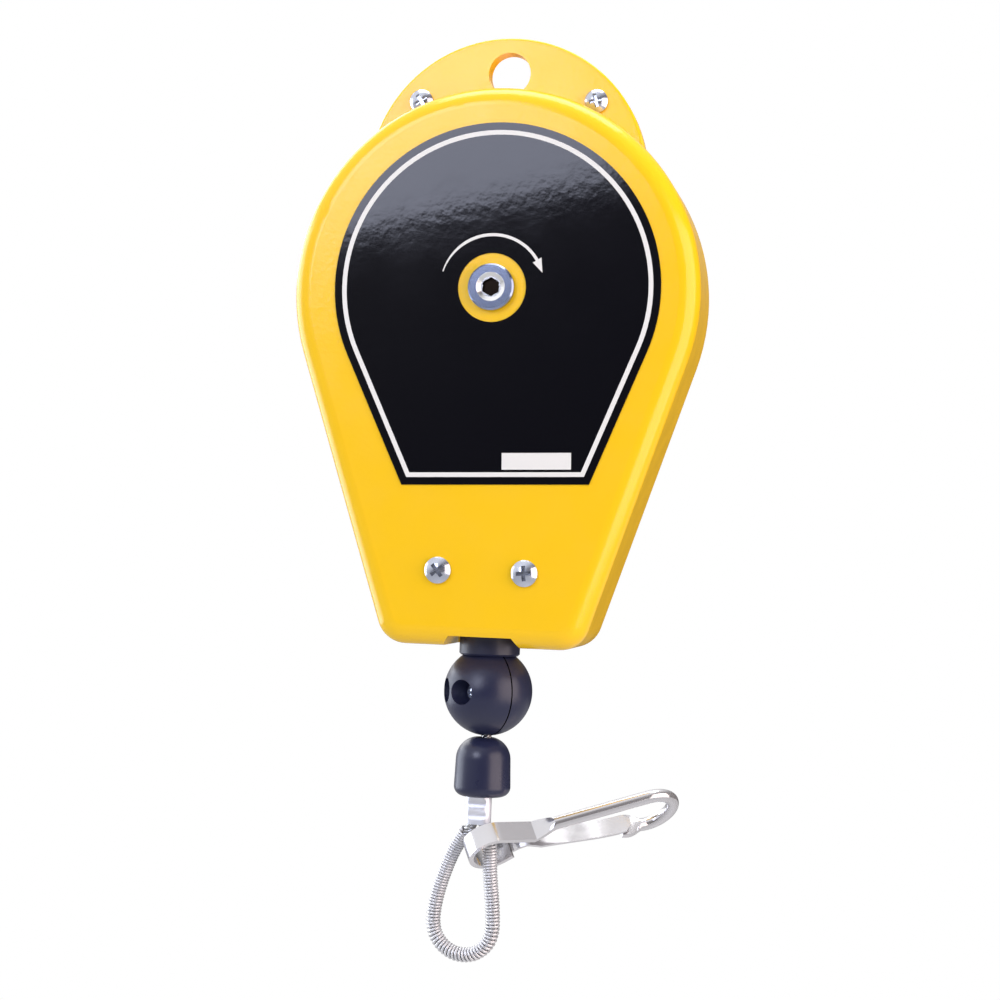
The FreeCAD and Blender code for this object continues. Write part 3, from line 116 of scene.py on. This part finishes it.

# ---- printing on the plate ----
INK = 0.04 * MM           # thickness in front of the plate
INK_SUNK = 0.02 * MM      # depth of its back in the plate
PLATE_TURN = 1.8          # degrees, as the solid plate is turned
BORDER_INSET = 2.3 * MM
BORDER_WIDTH = 1.4 * MM
ARROW_RADIUS = 15.9 * MM
ARROW_WIDTH = 0.9 * MM
ARROW_START = 163.0       # degrees, anticlockwise from the right
ARROW_END = 32.0
ARROW_HEAD = 4.2 * MM
ARROW_STEPS = 40
ARROW_TAIL = 0.35         # width of the arrow's tail, as a share of its full width
ARROW_GROWTH = 2.0        # full widths that it would gain along the whole arc
ARROW_HALF_HEAD = 0.36    # half width of the point, as a share of its length
ARROW_LEAN = 0.12         # inward lean of the point, which follows the arc
WINDOW_AT = (15.5 * MM, -51.8 * MM)    # from the hub
WINDOW_SIZE = (21.0 * MM, 5.0 * MM)
SAME_POINT = 0.001 * MM   # corners of the plate's mesh closer than this are one
SAME_DEPTH = 0.01 * MM    # corners of its front face lie within this


# ---- camera, floor and light ----
def aim(at, target, roll):
    """Matrix of a camera or lamp at a point, facing a target, turned by a roll in degrees."""
    back = (at - target).normalized()
    right = Vector((0, 0, 1)).cross(back).normalized()
    up = back.cross(right)
    c, s = math.cos(math.radians(roll)), math.sin(math.radians(roll))
    turned_right = right * c + up * s
    turned_up = up * c - right * s
    turn = Matrix((turned_right, turned_up, back)).transposed()
    return Matrix.Translation(at) @ turn.to_4x4()


def make_camera():
    data = bpy.data.cameras.new("camera")
    data.lens = CAMERA_LENS
    data.sensor_width = 36
    camera = bpy.data.objects.new("camera", data)
    camera.matrix_world = aim(CAMERA_AT, CAMERA_AIM, CAMERA_ROLL)
    bpy.context.scene.collection.objects.link(camera)
    bpy.context.scene.camera = camera


def make_lamps():
    for name, (at, target, size, power, colour, roll) in LAMPS.items():
        data = bpy.data.lights.new(name, "AREA")
        data.shape = "RECTANGLE"
        data.size, data.size_y = size
        data.energy = power
        data.color = colour
        lamp = bpy.data.objects.new(name, data)
        lamp.matrix_world = aim(Vector(at), Vector(target), roll)
        bpy.context.scene.collection.objects.link(lamp)


def background(nodes, strength):
    shader = nodes.new("ShaderNodeBackground")
    shader.inputs["Color"].default_value = (1, 1, 1, 1)
    shader.inputs["Strength"].default_value = strength
    return shader


def room_level(nodes, links):
    """How bright the room is in each direction: white at its bright side, dark elsewhere."""
    place = nodes.new("ShaderNodeTexCoord")
    toward = nodes.new("ShaderNodeVectorMath")
    toward.operation = "DOT_PRODUCT"
    toward.inputs[1].default_value = ROOM_BRIGHT_SIDE
    links.new(place.outputs["Generated"], toward.inputs[0])
    level = nodes.new("ShaderNodeMapRange")
    level.interpolation_type = "SMOOTHSTEP"
    level.inputs["From Min"].default_value = 0.0
    level.inputs["From Max"].default_value = ROOM_BRIGHT_FROM
    level.inputs["To Min"].default_value = ROOM_DARK
    links.new(toward.outputs["Value"], level.inputs["Value"])
    return level.outputs["Result"]


def make_world():
    """Soft room, white to the camera; metal and gloss see it bright above and to the left."""
    world = bpy.data.worlds.new("studio")
    bpy.context.scene.world = world
    world.use_nodes = True
    nodes, links = world.node_tree.nodes, world.node_tree.links
    nodes.clear()
    white = background(nodes, 1.0)
    room = background(nodes, 1.0)
    links.new(room_level(nodes, links), room.inputs["Strength"])
    path = nodes.new("ShaderNodeLightPath")
    last = background(nodes, AMBIENT).outputs[0]
    seen = {"Is Glossy Ray": room, "Is Transmission Ray": white, "Is Camera Ray": white}
    for ray, shader in seen.items():
        mix = nodes.new("ShaderNodeMixShader")
        links.new(path.outputs[ray], mix.inputs[0])
        links.new(last, mix.inputs[1])
        links.new(shader.outputs[0], mix.inputs[2])
        last = mix.outputs[0]
    out = nodes.new("ShaderNodeOutputWorld")
    links.new(last, out.inputs["Surface"])


def make_floor():
    """Pale floor, white to the camera, that every pose stays above."""
    mesh = bpy.data.meshes.new("floor")
    corners = [(x * FLOOR_HALF, y * FLOOR_HALF, FLOOR_LEVEL)
               for x, y in ((-1, -1), (1, -1), (1, 1), (-1, 1))]
    mesh.from_pydata(corners, [], [(0, 1, 2, 3)])
    floor = bpy.data.objects.new("floor", mesh)
    bpy.context.scene.collection.objects.link(floor)
    material = bpy.data.materials.new("floor")
    material.use_nodes = True
    nodes, links = material.node_tree.nodes, material.node_tree.links
    base = nodes["Principled BSDF"]
    base.inputs["Base Color"].default_value = (0.85, 0.85, 0.85, 1)
    base.inputs["Roughness"].default_value = 0.9
    white = nodes.new("ShaderNodeEmission")
    path = nodes.new("ShaderNodeLightPath")
    mix = nodes.new("ShaderNodeMixShader")
    links.new(path.outputs["Is Camera Ray"], mix.inputs[0])
    links.new(base.outputs[0], mix.inputs[1])
    links.new(white.outputs[0], mix.inputs[2])
    links.new(mix.outputs[0], nodes["Material Output"].inputs["Surface"])
    mesh.materials.append(material)


# ---- materials ----
class Look:
    """One node material, built step by step round a Principled shader."""

    def __init__(self, name, colour, metallic=0.0, roughness=0.4):
        self.material = bpy.data.materials.new(name)
        self.material.use_nodes = True
        self.nodes = self.material.node_tree.nodes
        self.links = self.material.node_tree.links
        self.shader = self.nodes["Principled BSDF"]
        self.set("Base Color", (*colour, 1))
        self.set("Metallic", metallic)
        self.set("Roughness", roughness)
        self.place = self.nodes.new("ShaderNodeTexCoord").outputs["Object"]

    def set(self, socket, value):
        self.shader.inputs[socket].default_value = value

    def noise(self, scale, detail=4.0, stretch=(1, 1, 1)):
        """Factor of a noise pattern with features of about 1/scale metres."""
        mapping = self.nodes.new("ShaderNodeMapping")
        mapping.inputs["Scale"].default_value = stretch
        self.links.new(self.place, mapping.inputs["Vector"])
        noise = self.nodes.new("ShaderNodeTexNoise")
        noise.inputs["Scale"].default_value = scale
        noise.inputs["Detail"].default_value = detail
        self.links.new(mapping.outputs["Vector"], noise.inputs["Vector"])
        return noise.outputs["Fac"]

    def ramp(self, factor, low, high):
        """Spreads the middle of a factor's range between two values."""
        spread = self.nodes.new("ShaderNodeMapRange")
        spread.inputs["From Min"].default_value = 0.3
        spread.inputs["From Max"].default_value = 0.7
        spread.inputs["To Min"].default_value = low
        spread.inputs["To Max"].default_value = high
        self.links.new(factor, spread.inputs["Value"])
        return spread.outputs["Result"]

    def tint(self, factor, other):
        """Turns the colour so far into another with a factor."""
        base = self.shader.inputs["Base Color"]
        mix = self.nodes.new("ShaderNodeMix")
        mix.data_type = "RGBA"
        mix.inputs["A"].default_value = base.default_value
        mix.inputs["B"].default_value = (*other, 1)
        if base.is_linked:
            self.links.new(base.links[0].from_socket, mix.inputs["A"])
        self.links.new(factor, mix.inputs["Factor"])
        self.links.new(mix.outputs["Result"], base)

    def rough(self, factor, low, high):
        """Lets the roughness drift between two values with a factor."""
        self.links.new(self.ramp(factor, low, high), self.shader.inputs["Roughness"])

    def bump(self, factor, depth):
        """Relief, with the depth in metres."""
        bump = self.nodes.new("ShaderNodeBump")
        bump.inputs["Distance"].default_value = depth
        bump.inputs["Strength"].default_value = 1.0
        self.links.new(factor, bump.inputs["Height"])
        self.links.new(bump.outputs["Normal"], self.shader.inputs["Normal"])

    def number(self, operation, value, other=None):
        """One step of arithmetic on a value, with a number or another value."""
        node = self.nodes.new("ShaderNodeMath")
        node.operation = operation
        self.links.new(value, node.inputs[0])
        if isinstance(other, bpy.types.NodeSocket):
            self.links.new(other, node.inputs[1])
        elif other is not None:
            node.inputs[1].default_value = other
        return node.outputs[0]

    def vector(self, operation, value, other=None):
        """One step of vector arithmetic, with a fixed vector."""
        node = self.nodes.new("ShaderNodeVectorMath")
        node.operation = operation
        self.links.new(value, node.inputs[0])
        if other is not None:
            node.inputs[1].default_value = other
        return node.outputs["Value" if operation in ("LENGTH", "DOT_PRODUCT") else "Vector"]


def yellow_paint():
    look = Look("yellow_paint", (0.96, 0.59, 0.008))
    look.tint(look.noise(12), (0.95, 0.56, 0.007))
    look.rough(look.noise(120), 0.16, 0.22)
    look.bump(look.noise(700, 2), 0.00004)
    return look.material


def plate_black():
    look = Look("plate_black", (0.0035, 0.0035, 0.006))
    look.rough(look.noise(60), 0.05, 0.08)
    look.bump(look.noise(350, 2), 0.000013)
    look.set("Specular IOR Level", 0.45)
    return look.material


def print_white():
    look = Look("print_white", (0.80, 0.79, 0.76))
    look.rough(look.noise(200), 0.40, 0.50)
    return look.material


def metal(name, colour, low, high, scale=400, stretch=(1, 1, 1), depth=0.00001, metallic=1.0):
    """Metal with fine grain and wide patches that are a little duller."""
    dull = tuple(0.88 * c for c in colour)
    look = Look(name, colour, metallic=metallic)
    grain = look.noise(scale, 4, stretch)
    look.rough(grain, low, high)
    look.tint(look.ramp(look.noise(scale / 8), 0, 1), dull)
    look.bump(grain, depth)
    return look.material


def plastic(name, low, high, depth):
    look = Look(name, PLASTIC)
    look.rough(look.noise(150), low, high)
    look.bump(look.noise(900, 3), depth)
    return look


def bolt_zinc(node):
    """Bluish zinc on the tension bolt, with a painted highlight on the rim round its socket and painted
    shade in the socket.
    """
    look = Look("bolt_zinc", (0.30, 0.35, 0.50), metallic=0.9, roughness=0.16)
    corners = [Vector(corner) for corner in node.bound_box]
    middle = sum(corners, Vector()) / len(corners)
    front = min(corner.y for corner in corners)
    off = look.vector("MULTIPLY", look.vector("SUBTRACT", look.place, middle), (1, 0, 1))
    reach = look.vector("LENGTH", off)
    depth = look.vector("DOT_PRODUCT", look.place, (0, 1, 0))
    # mask of the painted shade: the inside of the socket, deeper than its lip
    deep = look.number("GREATER_THAN", depth, front + BOLT_LIP)
    socket = look.number("MULTIPLY", deep, look.number("LESS_THAN", reach, BOLT_SHADED_SOCKET))
    # painted highlight: the rim round the socket is tinted near white
    look.tint(look.number("LESS_THAN", reach, BOLT_HIGHLIGHT_RIM), (0.93, 0.93, 0.95))
    # painted shade: the socket's inside is tinted dark brown
    look.tint(socket, (0.022, 0.014, 0.010))
    return look.material


def ball_plastic(node):
    """Black plastic with painted shade along the seam where the two halves of the ball meet."""
    look = plastic("ball_plastic", 0.30, 0.40, 0.00003)
    low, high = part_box(node.name)
    turn = math.radians(BALL_SPLIT)
    inward = node.matrix_world.inverted()
    across = inward.to_3x3() @ Vector((math.sin(turn), math.cos(turn), 0))
    middle = inward @ Vector((0, 0, (low.z + high.z) / 2))
    off = look.vector("SUBTRACT", look.place, middle)
    distance = look.number("ABSOLUTE", look.vector("DOT_PRODUCT", off, across))
    # painted shade: a near-black band with less specular along the seam, where the gap between the halves
    # is in shade
    seam_shade = look.number("LESS_THAN", distance, BALL_SEAM_SHADE)
    look.tint(seam_shade, (0.001, 0.001, 0.001))
    look.links.new(look.ramp(seam_shade, 0.5, 0.0), look.shader.inputs["Specular IOR Level"])
    return look.material


def make_materials():
    return {
        "casing_yellow": yellow_paint(),
        "plate_black": plate_black(),
        "print_white": print_white(),
        "zinc_steel": metal("zinc_steel", (0.62, 0.66, 0.78), 0.14, 0.24, metallic=0.85),
        "bronze": metal("bronze", (0.55, 0.38, 0.18), 0.3, 0.45),
        "machined_steel": metal("machined_steel", (0.52, 0.52, 0.54), 0.2, 0.32, 600, (1, 0.1, 1)),
        "spring_steel": metal("spring_steel", (0.22, 0.24, 0.30), 0.25, 0.4, 300, (1, 1, 0.1)),
        "cast_aluminium": metal("cast_aluminium", (0.66, 0.66, 0.67), 0.35, 0.5, 500, depth=0.00004),
        "pressed_steel": metal("pressed_steel", (0.58, 0.59, 0.61), 0.25, 0.4),
        "wire_rope": metal("wire_rope", (0.50, 0.50, 0.51), 0.25, 0.4),
        "black_plastic": plastic("black_plastic", 0.30, 0.40, 0.00003).material,
        "cap_plastic": plastic("cap_plastic", 0.27, 0.35, 0.00002).material,
        "ferrule_metal": metal("ferrule_metal", (0.88, 0.90, 0.98), 0.38, 0.5, metallic=0.6),
        "sleeve_wire": metal("sleeve_wire", (0.80, 0.80, 0.83), 0.30, 0.42, metallic=0.6),
        "hook_chrome": metal("hook_chrome", (0.76, 0.75, 0.78), 0.09, 0.17, 200, depth=0.000002,
                             metallic=0.78),
    }


def dress_nodes(materials):
    """Gives each CAD node the look of its material slot, or one of its own."""
    slots = {part["node"]: part["material_slot"] for part in frame["record"]["subparts"]}
    special = {"tension_bolt": bolt_zinc, "ball_front_half": ball_plastic, "ball_rear_half": ball_plastic}
    for name, node in frame["nodes"].items():
        node.data.materials.clear()
        if name in special:
            node.data.materials.append(special[name](node))
        else:
            node.data.materials.append(materials[slots[name]])


# ---- pieces ----
def add_piece(name, mesh, material, body, smooth=True):
    """A new piece of the object, which rides on a CAD body when one is given."""
    mesh.materials.clear()
    mesh.materials.append(material)
    for face in mesh.polygons:
        face.use_smooth = smooth
    piece = bpy.data.objects.new(name, mesh)
    bpy.context.scene.collection.objects.link(piece)
    if body:
        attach(piece, body)
    return piece


def smooth_route(points):
    """Points along a smooth spline that has the given control points."""
    data = bpy.data.curves.new("route", "CURVE")
    data.dimensions = "3D"
    data.resolution_u = ROUTE_STEPS
    spline = data.splines.new("NURBS")
    spline.points.add(len(points) - 1)
    for place, point in zip(spline.points, points):
        place.co = (*point, 1)
    spline.order_u = 3
    spline.use_endpoint_u = True
    holder = bpy.data.objects.new("route", data)
    line = bpy.data.meshes.new_from_object(holder)
    found = [v.co.copy() for v in line.vertices]
    bpy.data.objects.remove(holder)
    return found


def stations(points, step):
    """Evenly spaced places along a line: (point, heading, side, other side, length so far)."""
    lengths = [0.0]
    for a, b in zip(points, points[1:]):
        lengths.append(lengths[-1] + (b - a).length)
    count = max(2, round(lengths[-1] / step))
    found, k = [], 0
    side = None
    for i in range(count + 1):
        s = lengths[-1] * i / count
        while k < len(points) - 2 and lengths[k + 1] < s:
            k += 1
        share = (s - lengths[k]) / max(1e-12, lengths[k + 1] - lengths[k])
        heading = (points[k + 1] - points[k]).normalized()
        if side is None:
            side = heading.orthogonal().normalized()
        side = (side - heading * side.dot(heading)).normalized()
        found.append((points[k].lerp(points[k + 1], share), heading, side, heading.cross(side), s))
    return found


def tube_mesh(name, lines, radius, corners):
    """Round wires along several lines of points, as one mesh."""
    build = bmesh.new()
    for line in lines:
        rings = []
        for point, _, side, other, _ in stations(line, (line[1] - line[0]).length):
            ring = []
            for k in range(corners):
                turn = 2 * math.pi * k / corners
                way = side * math.cos(turn) + other * math.sin(turn)
                ring.append(build.verts.new(point + way * radius))
            rings.append(ring)
        for a, b in zip(rings, rings[1:]):
            for k in range(corners):
                n = (k + 1) % corners
                build.faces.new((a[k], a[n], b[n], b[k]))
        build.faces.new(list(reversed(rings[0])))
        build.faces.new(rings[-1])
    mesh = bpy.data.meshes.new(name)
    build.to_mesh(mesh)
    build.free()
    return mesh


def helix(line, radius, pitch, opened, step, phase=0.0):
    """Line that winds round another line, at a pitch that opens towards the line's middle."""
    found, turn, before = [], phase, 0.0
    places = stations(line, step)
    length = places[-1][4]
    for point, _, side, other, s in places:
        share = math.sin(math.pi * s / length) ** OPENING_POWER
        turn += 2 * math.pi * (s - before) / (pitch + share * (opened - pitch))
        before = s
        found.append(point + (side * math.cos(turn) + other * math.sin(turn)) * radius)
    return found


def strands(name, line):
    """Laid wire rope: strands wound round a core strand."""
    strand = ROPE_RADIUS / 3
    lines = [helix(line, 2 * strand, ROPE_LAY, ROPE_LAY, ROPE_STEP, 2 * math.pi * k / ROPE_STRANDS)
             for k in range(ROPE_STRANDS)]
    lines.append([place[0] for place in stations(line, ROPE_STEP)])
    return tube_mesh(name, lines, strand * STRAND_GROWN, ROPE_CORNERS)


def eye_route():
    """Route of the rope from the ball through the eye and back up the ferrule."""
    c, s = math.cos(math.radians(EYE_TWIST)), math.sin(math.radians(EYE_TWIST))
    loop = []
    for k, (x, drop) in enumerate(EYE_FLAT):
        reach = x * MM - FERRULE_X
        if 0 < k < len(EYE_FLAT) - 1:
            loop.append(Vector((FERRULE_X + reach * c, -reach * s, FERRULE_FOOT + drop * MM)))
        else:
            loop.append(Vector((x * MM, 0, FERRULE_FOOT + drop * MM)))
    return loop


def eye_line():
    """Smooth line from the ball through the ferrule, round the eye and back up."""
    loop = eye_route()
    start = Vector((0, 0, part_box("eye_rope")[1].z))
    end = Vector((loop[-1].x, 0, FERRULE_FOOT + ROPE_END))
    straight = Vector((0, 0, ROPE_STRAIGHT))
    return smooth_route([start, loop[0] + straight] + loop + [loop[-1] + straight, end])


def make_eye_rope(line, material):
    rope = add_piece("eye_rope_strands", strands("eye_rope_strands", line), material, "rope_end")
    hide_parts("eye_rope")


def make_sleeve(line, material):
    """Close-wound wire sleeve on the rope's loop."""
    loop = [point for point in line if point.z < FERRULE_FOOT - SLEEVE_START]
    wound = helix(loop, SLEEVE_RADIUS - SLEEVE_WIRE, SLEEVE_PITCH, SLEEVE_OPENED, SLEEVE_STEP)
    coil = tube_mesh("sleeve_coil", [wound], SLEEVE_WIRE, SLEEVE_CORNERS)
    sleeve = add_piece("sleeve_coil", coil, material, "rope_end")
    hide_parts("eye_sleeve")


def make_rope_run(material):
    """Stretch from the guide to the ball, which grows as the rope is pulled out; this piece is made at
    the length of its solid and nothing here makes it grow.
    """
    low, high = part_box("rope_run")
    line = [Vector((0, 0, high.z)), Vector((0, 0, low.z))]
    run = add_piece("rope_run_strands", strands("rope_run_strands", line), material, None)
    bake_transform(run)
    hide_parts("rope_run")


# ---- printing on the plate, without any lettering ----
def plate_outline():
    """Corners of the plate's front face, in order, and the depth of that face."""
    mesh = frame["nodes"]["name_plate"].data
    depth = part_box("name_plate")[0].y
    build = bmesh.new()
    build.from_mesh(mesh)
    build.transform(frame["nodes"]["name_plate"].matrix_world)
    bmesh.ops.remove_doubles(build, verts=build.verts, dist=SAME_POINT)
    front = {face for face in build.faces
             if all(abs(vert.co.y - depth) < SAME_DEPTH for vert in face.verts)}
    after = {}
    for face in front:
        for loop in face.loops:
            beside = [other for other in loop.edge.link_faces if other is not face]
            if not any(other in front for other in beside):
                after[loop.vert.index] = (loop.link_loop_next.vert.index, loop.vert.co.copy())
    far = max(after, key=lambda k: after[k][1].x)
    ring, k = [], far
    while True:
        ring.append(Vector((after[k][1].x, after[k][1].z)))
        k = after[k][0]
        if k == far:
            break
    build.free()
    return ring, depth


def moved_in(ring, distance):
    """Closed outline moved inwards by a distance."""
    middle = sum(ring, Vector((0, 0))) / len(ring)
    lines = []
    for a, b in zip(ring, ring[1:] + ring[:1]):
        along = (b - a).normalized()
        inward = Vector((-along.y, along.x))
        if inward.dot(middle - a) < 0:
            inward = -inward
        lines.append((a + inward * distance, along))
    found = []
    for k, (point, along) in enumerate(lines):
        before, earlier = lines[k - 1]
        cross = earlier.x * along.y - earlier.y * along.x
        if abs(cross) < 0.001:     # the two sides are in line
            found.append(point)
            continue
        gap = point - before
        found.append(before + earlier * ((gap.x * along.y - gap.y * along.x) / cross))
    return found


def add_print(name, build, material):
    """A piece of ink on the casing's plate, from its finished faces."""
    bmesh.ops.recalc_face_normals(build, faces=build.faces)
    mesh = bpy.data.meshes.new(name)
    build.to_mesh(mesh)
    build.free()
    add_piece(name, mesh, material, "casing", smooth=False)


def print_band(name, outer, inner, depth, material):
    """Thin ink between two outlines with matching points, just in front of the plate."""
    build = bmesh.new()
    rows = []
    for y in (depth - INK, depth + INK_SUNK):
        rows.append([[build.verts.new((p.x, y, p.y)) for p in line] for line in (outer, inner)])
    (a, b), (c, d) = rows
    for k in range(len(outer)):
        n = (k + 1) % len(outer)
        build.faces.new((a[k], a[n], b[n], b[k]))
        build.faces.new((c[k], d[k], d[n], c[n]))
        build.faces.new((a[k], c[k], c[n], a[n]))
        build.faces.new((b[k], b[n], d[n], d[k]))
    add_print(name, build, material)


def print_shape(name, outline, depth, material):
    """Thin ink with one closed outline, just in front of the plate."""
    build = bmesh.new()
    face = build.faces.new([build.verts.new((p.x, depth - INK, p.y)) for p in outline])
    grown = bmesh.ops.extrude_face_region(build, geom=[face])["geom"]
    bmesh.ops.translate(build, vec=(0, INK + INK_SUNK, 0),
                        verts=[v for v in grown if isinstance(v, bmesh.types.BMVert)])
    add_print(name, build, material)


def print_arrow(hub, depth, white):
    """Arc round the bolt with a tapered tail, and its point, which shows the way to wind."""
    outer, inner = [], []
    for k in range(ARROW_STEPS + 1):
        turn = math.radians(ARROW_START + (ARROW_END - ARROW_START) * k / ARROW_STEPS)
        way = Vector((math.cos(turn), math.sin(turn)))
        half = ARROW_WIDTH / 2 * min(1.0, ARROW_TAIL + ARROW_GROWTH * k / ARROW_STEPS)
        outer.append(hub + way * (ARROW_RADIUS + half))
        inner.append(hub + way * (ARROW_RADIUS - half))
    print_shape("winding_arc", outer + inner[::-1], depth, white)
    ahead = Vector((way.y, -way.x))
    end = hub + way * ARROW_RADIUS
    lean = (ahead - way * ARROW_LEAN).normalized()
    flare = way * ARROW_HEAD * ARROW_HALF_HEAD
    print_shape("winding_point", [end + flare, end + lean * ARROW_HEAD, end - flare], depth, white)


def print_window(hub, depth, white):
    """Blank white window near the plate's foot."""
    tilt = math.radians(PLATE_TURN)
    across = Vector((math.cos(tilt), math.sin(tilt))) * WINDOW_SIZE[0] / 2
    up = Vector((-math.sin(tilt), math.cos(tilt))) * WINDOW_SIZE[1] / 2
    middle = hub + Vector(WINDOW_AT)
    corners = [middle - across - up, middle + across - up, middle + across + up, middle - across + up]
    print_shape("blank_window", corners, depth, white)


def make_print(white):
    """White border, the winding arrow round the bolt, and a blank window."""
    ring, depth = plate_outline()
    outer = moved_in(ring, BORDER_INSET)
    inner = moved_in(ring, BORDER_INSET + BORDER_WIDTH)
    print_band("plate_border", outer, inner, depth, white)
    low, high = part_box("tension_bolt")
    hub = Vector(((low.x + high.x) / 2, (low.z + high.z) / 2))
    print_arrow(hub, depth, white)
    print_window(hub, depth, white)


bpy.context.scene.view_settings.view_transform = "Standard"
make_camera()
materials = make_materials()
dress_nodes(materials)
rope_line = eye_line()
make_eye_rope(rope_line, materials["wire_rope"])
make_sleeve(rope_line, materials["sleeve_wire"])
make_rope_run(materials["wire_rope"])
make_print(materials["print_white"])
make_floor()
make_world()
make_lamps()
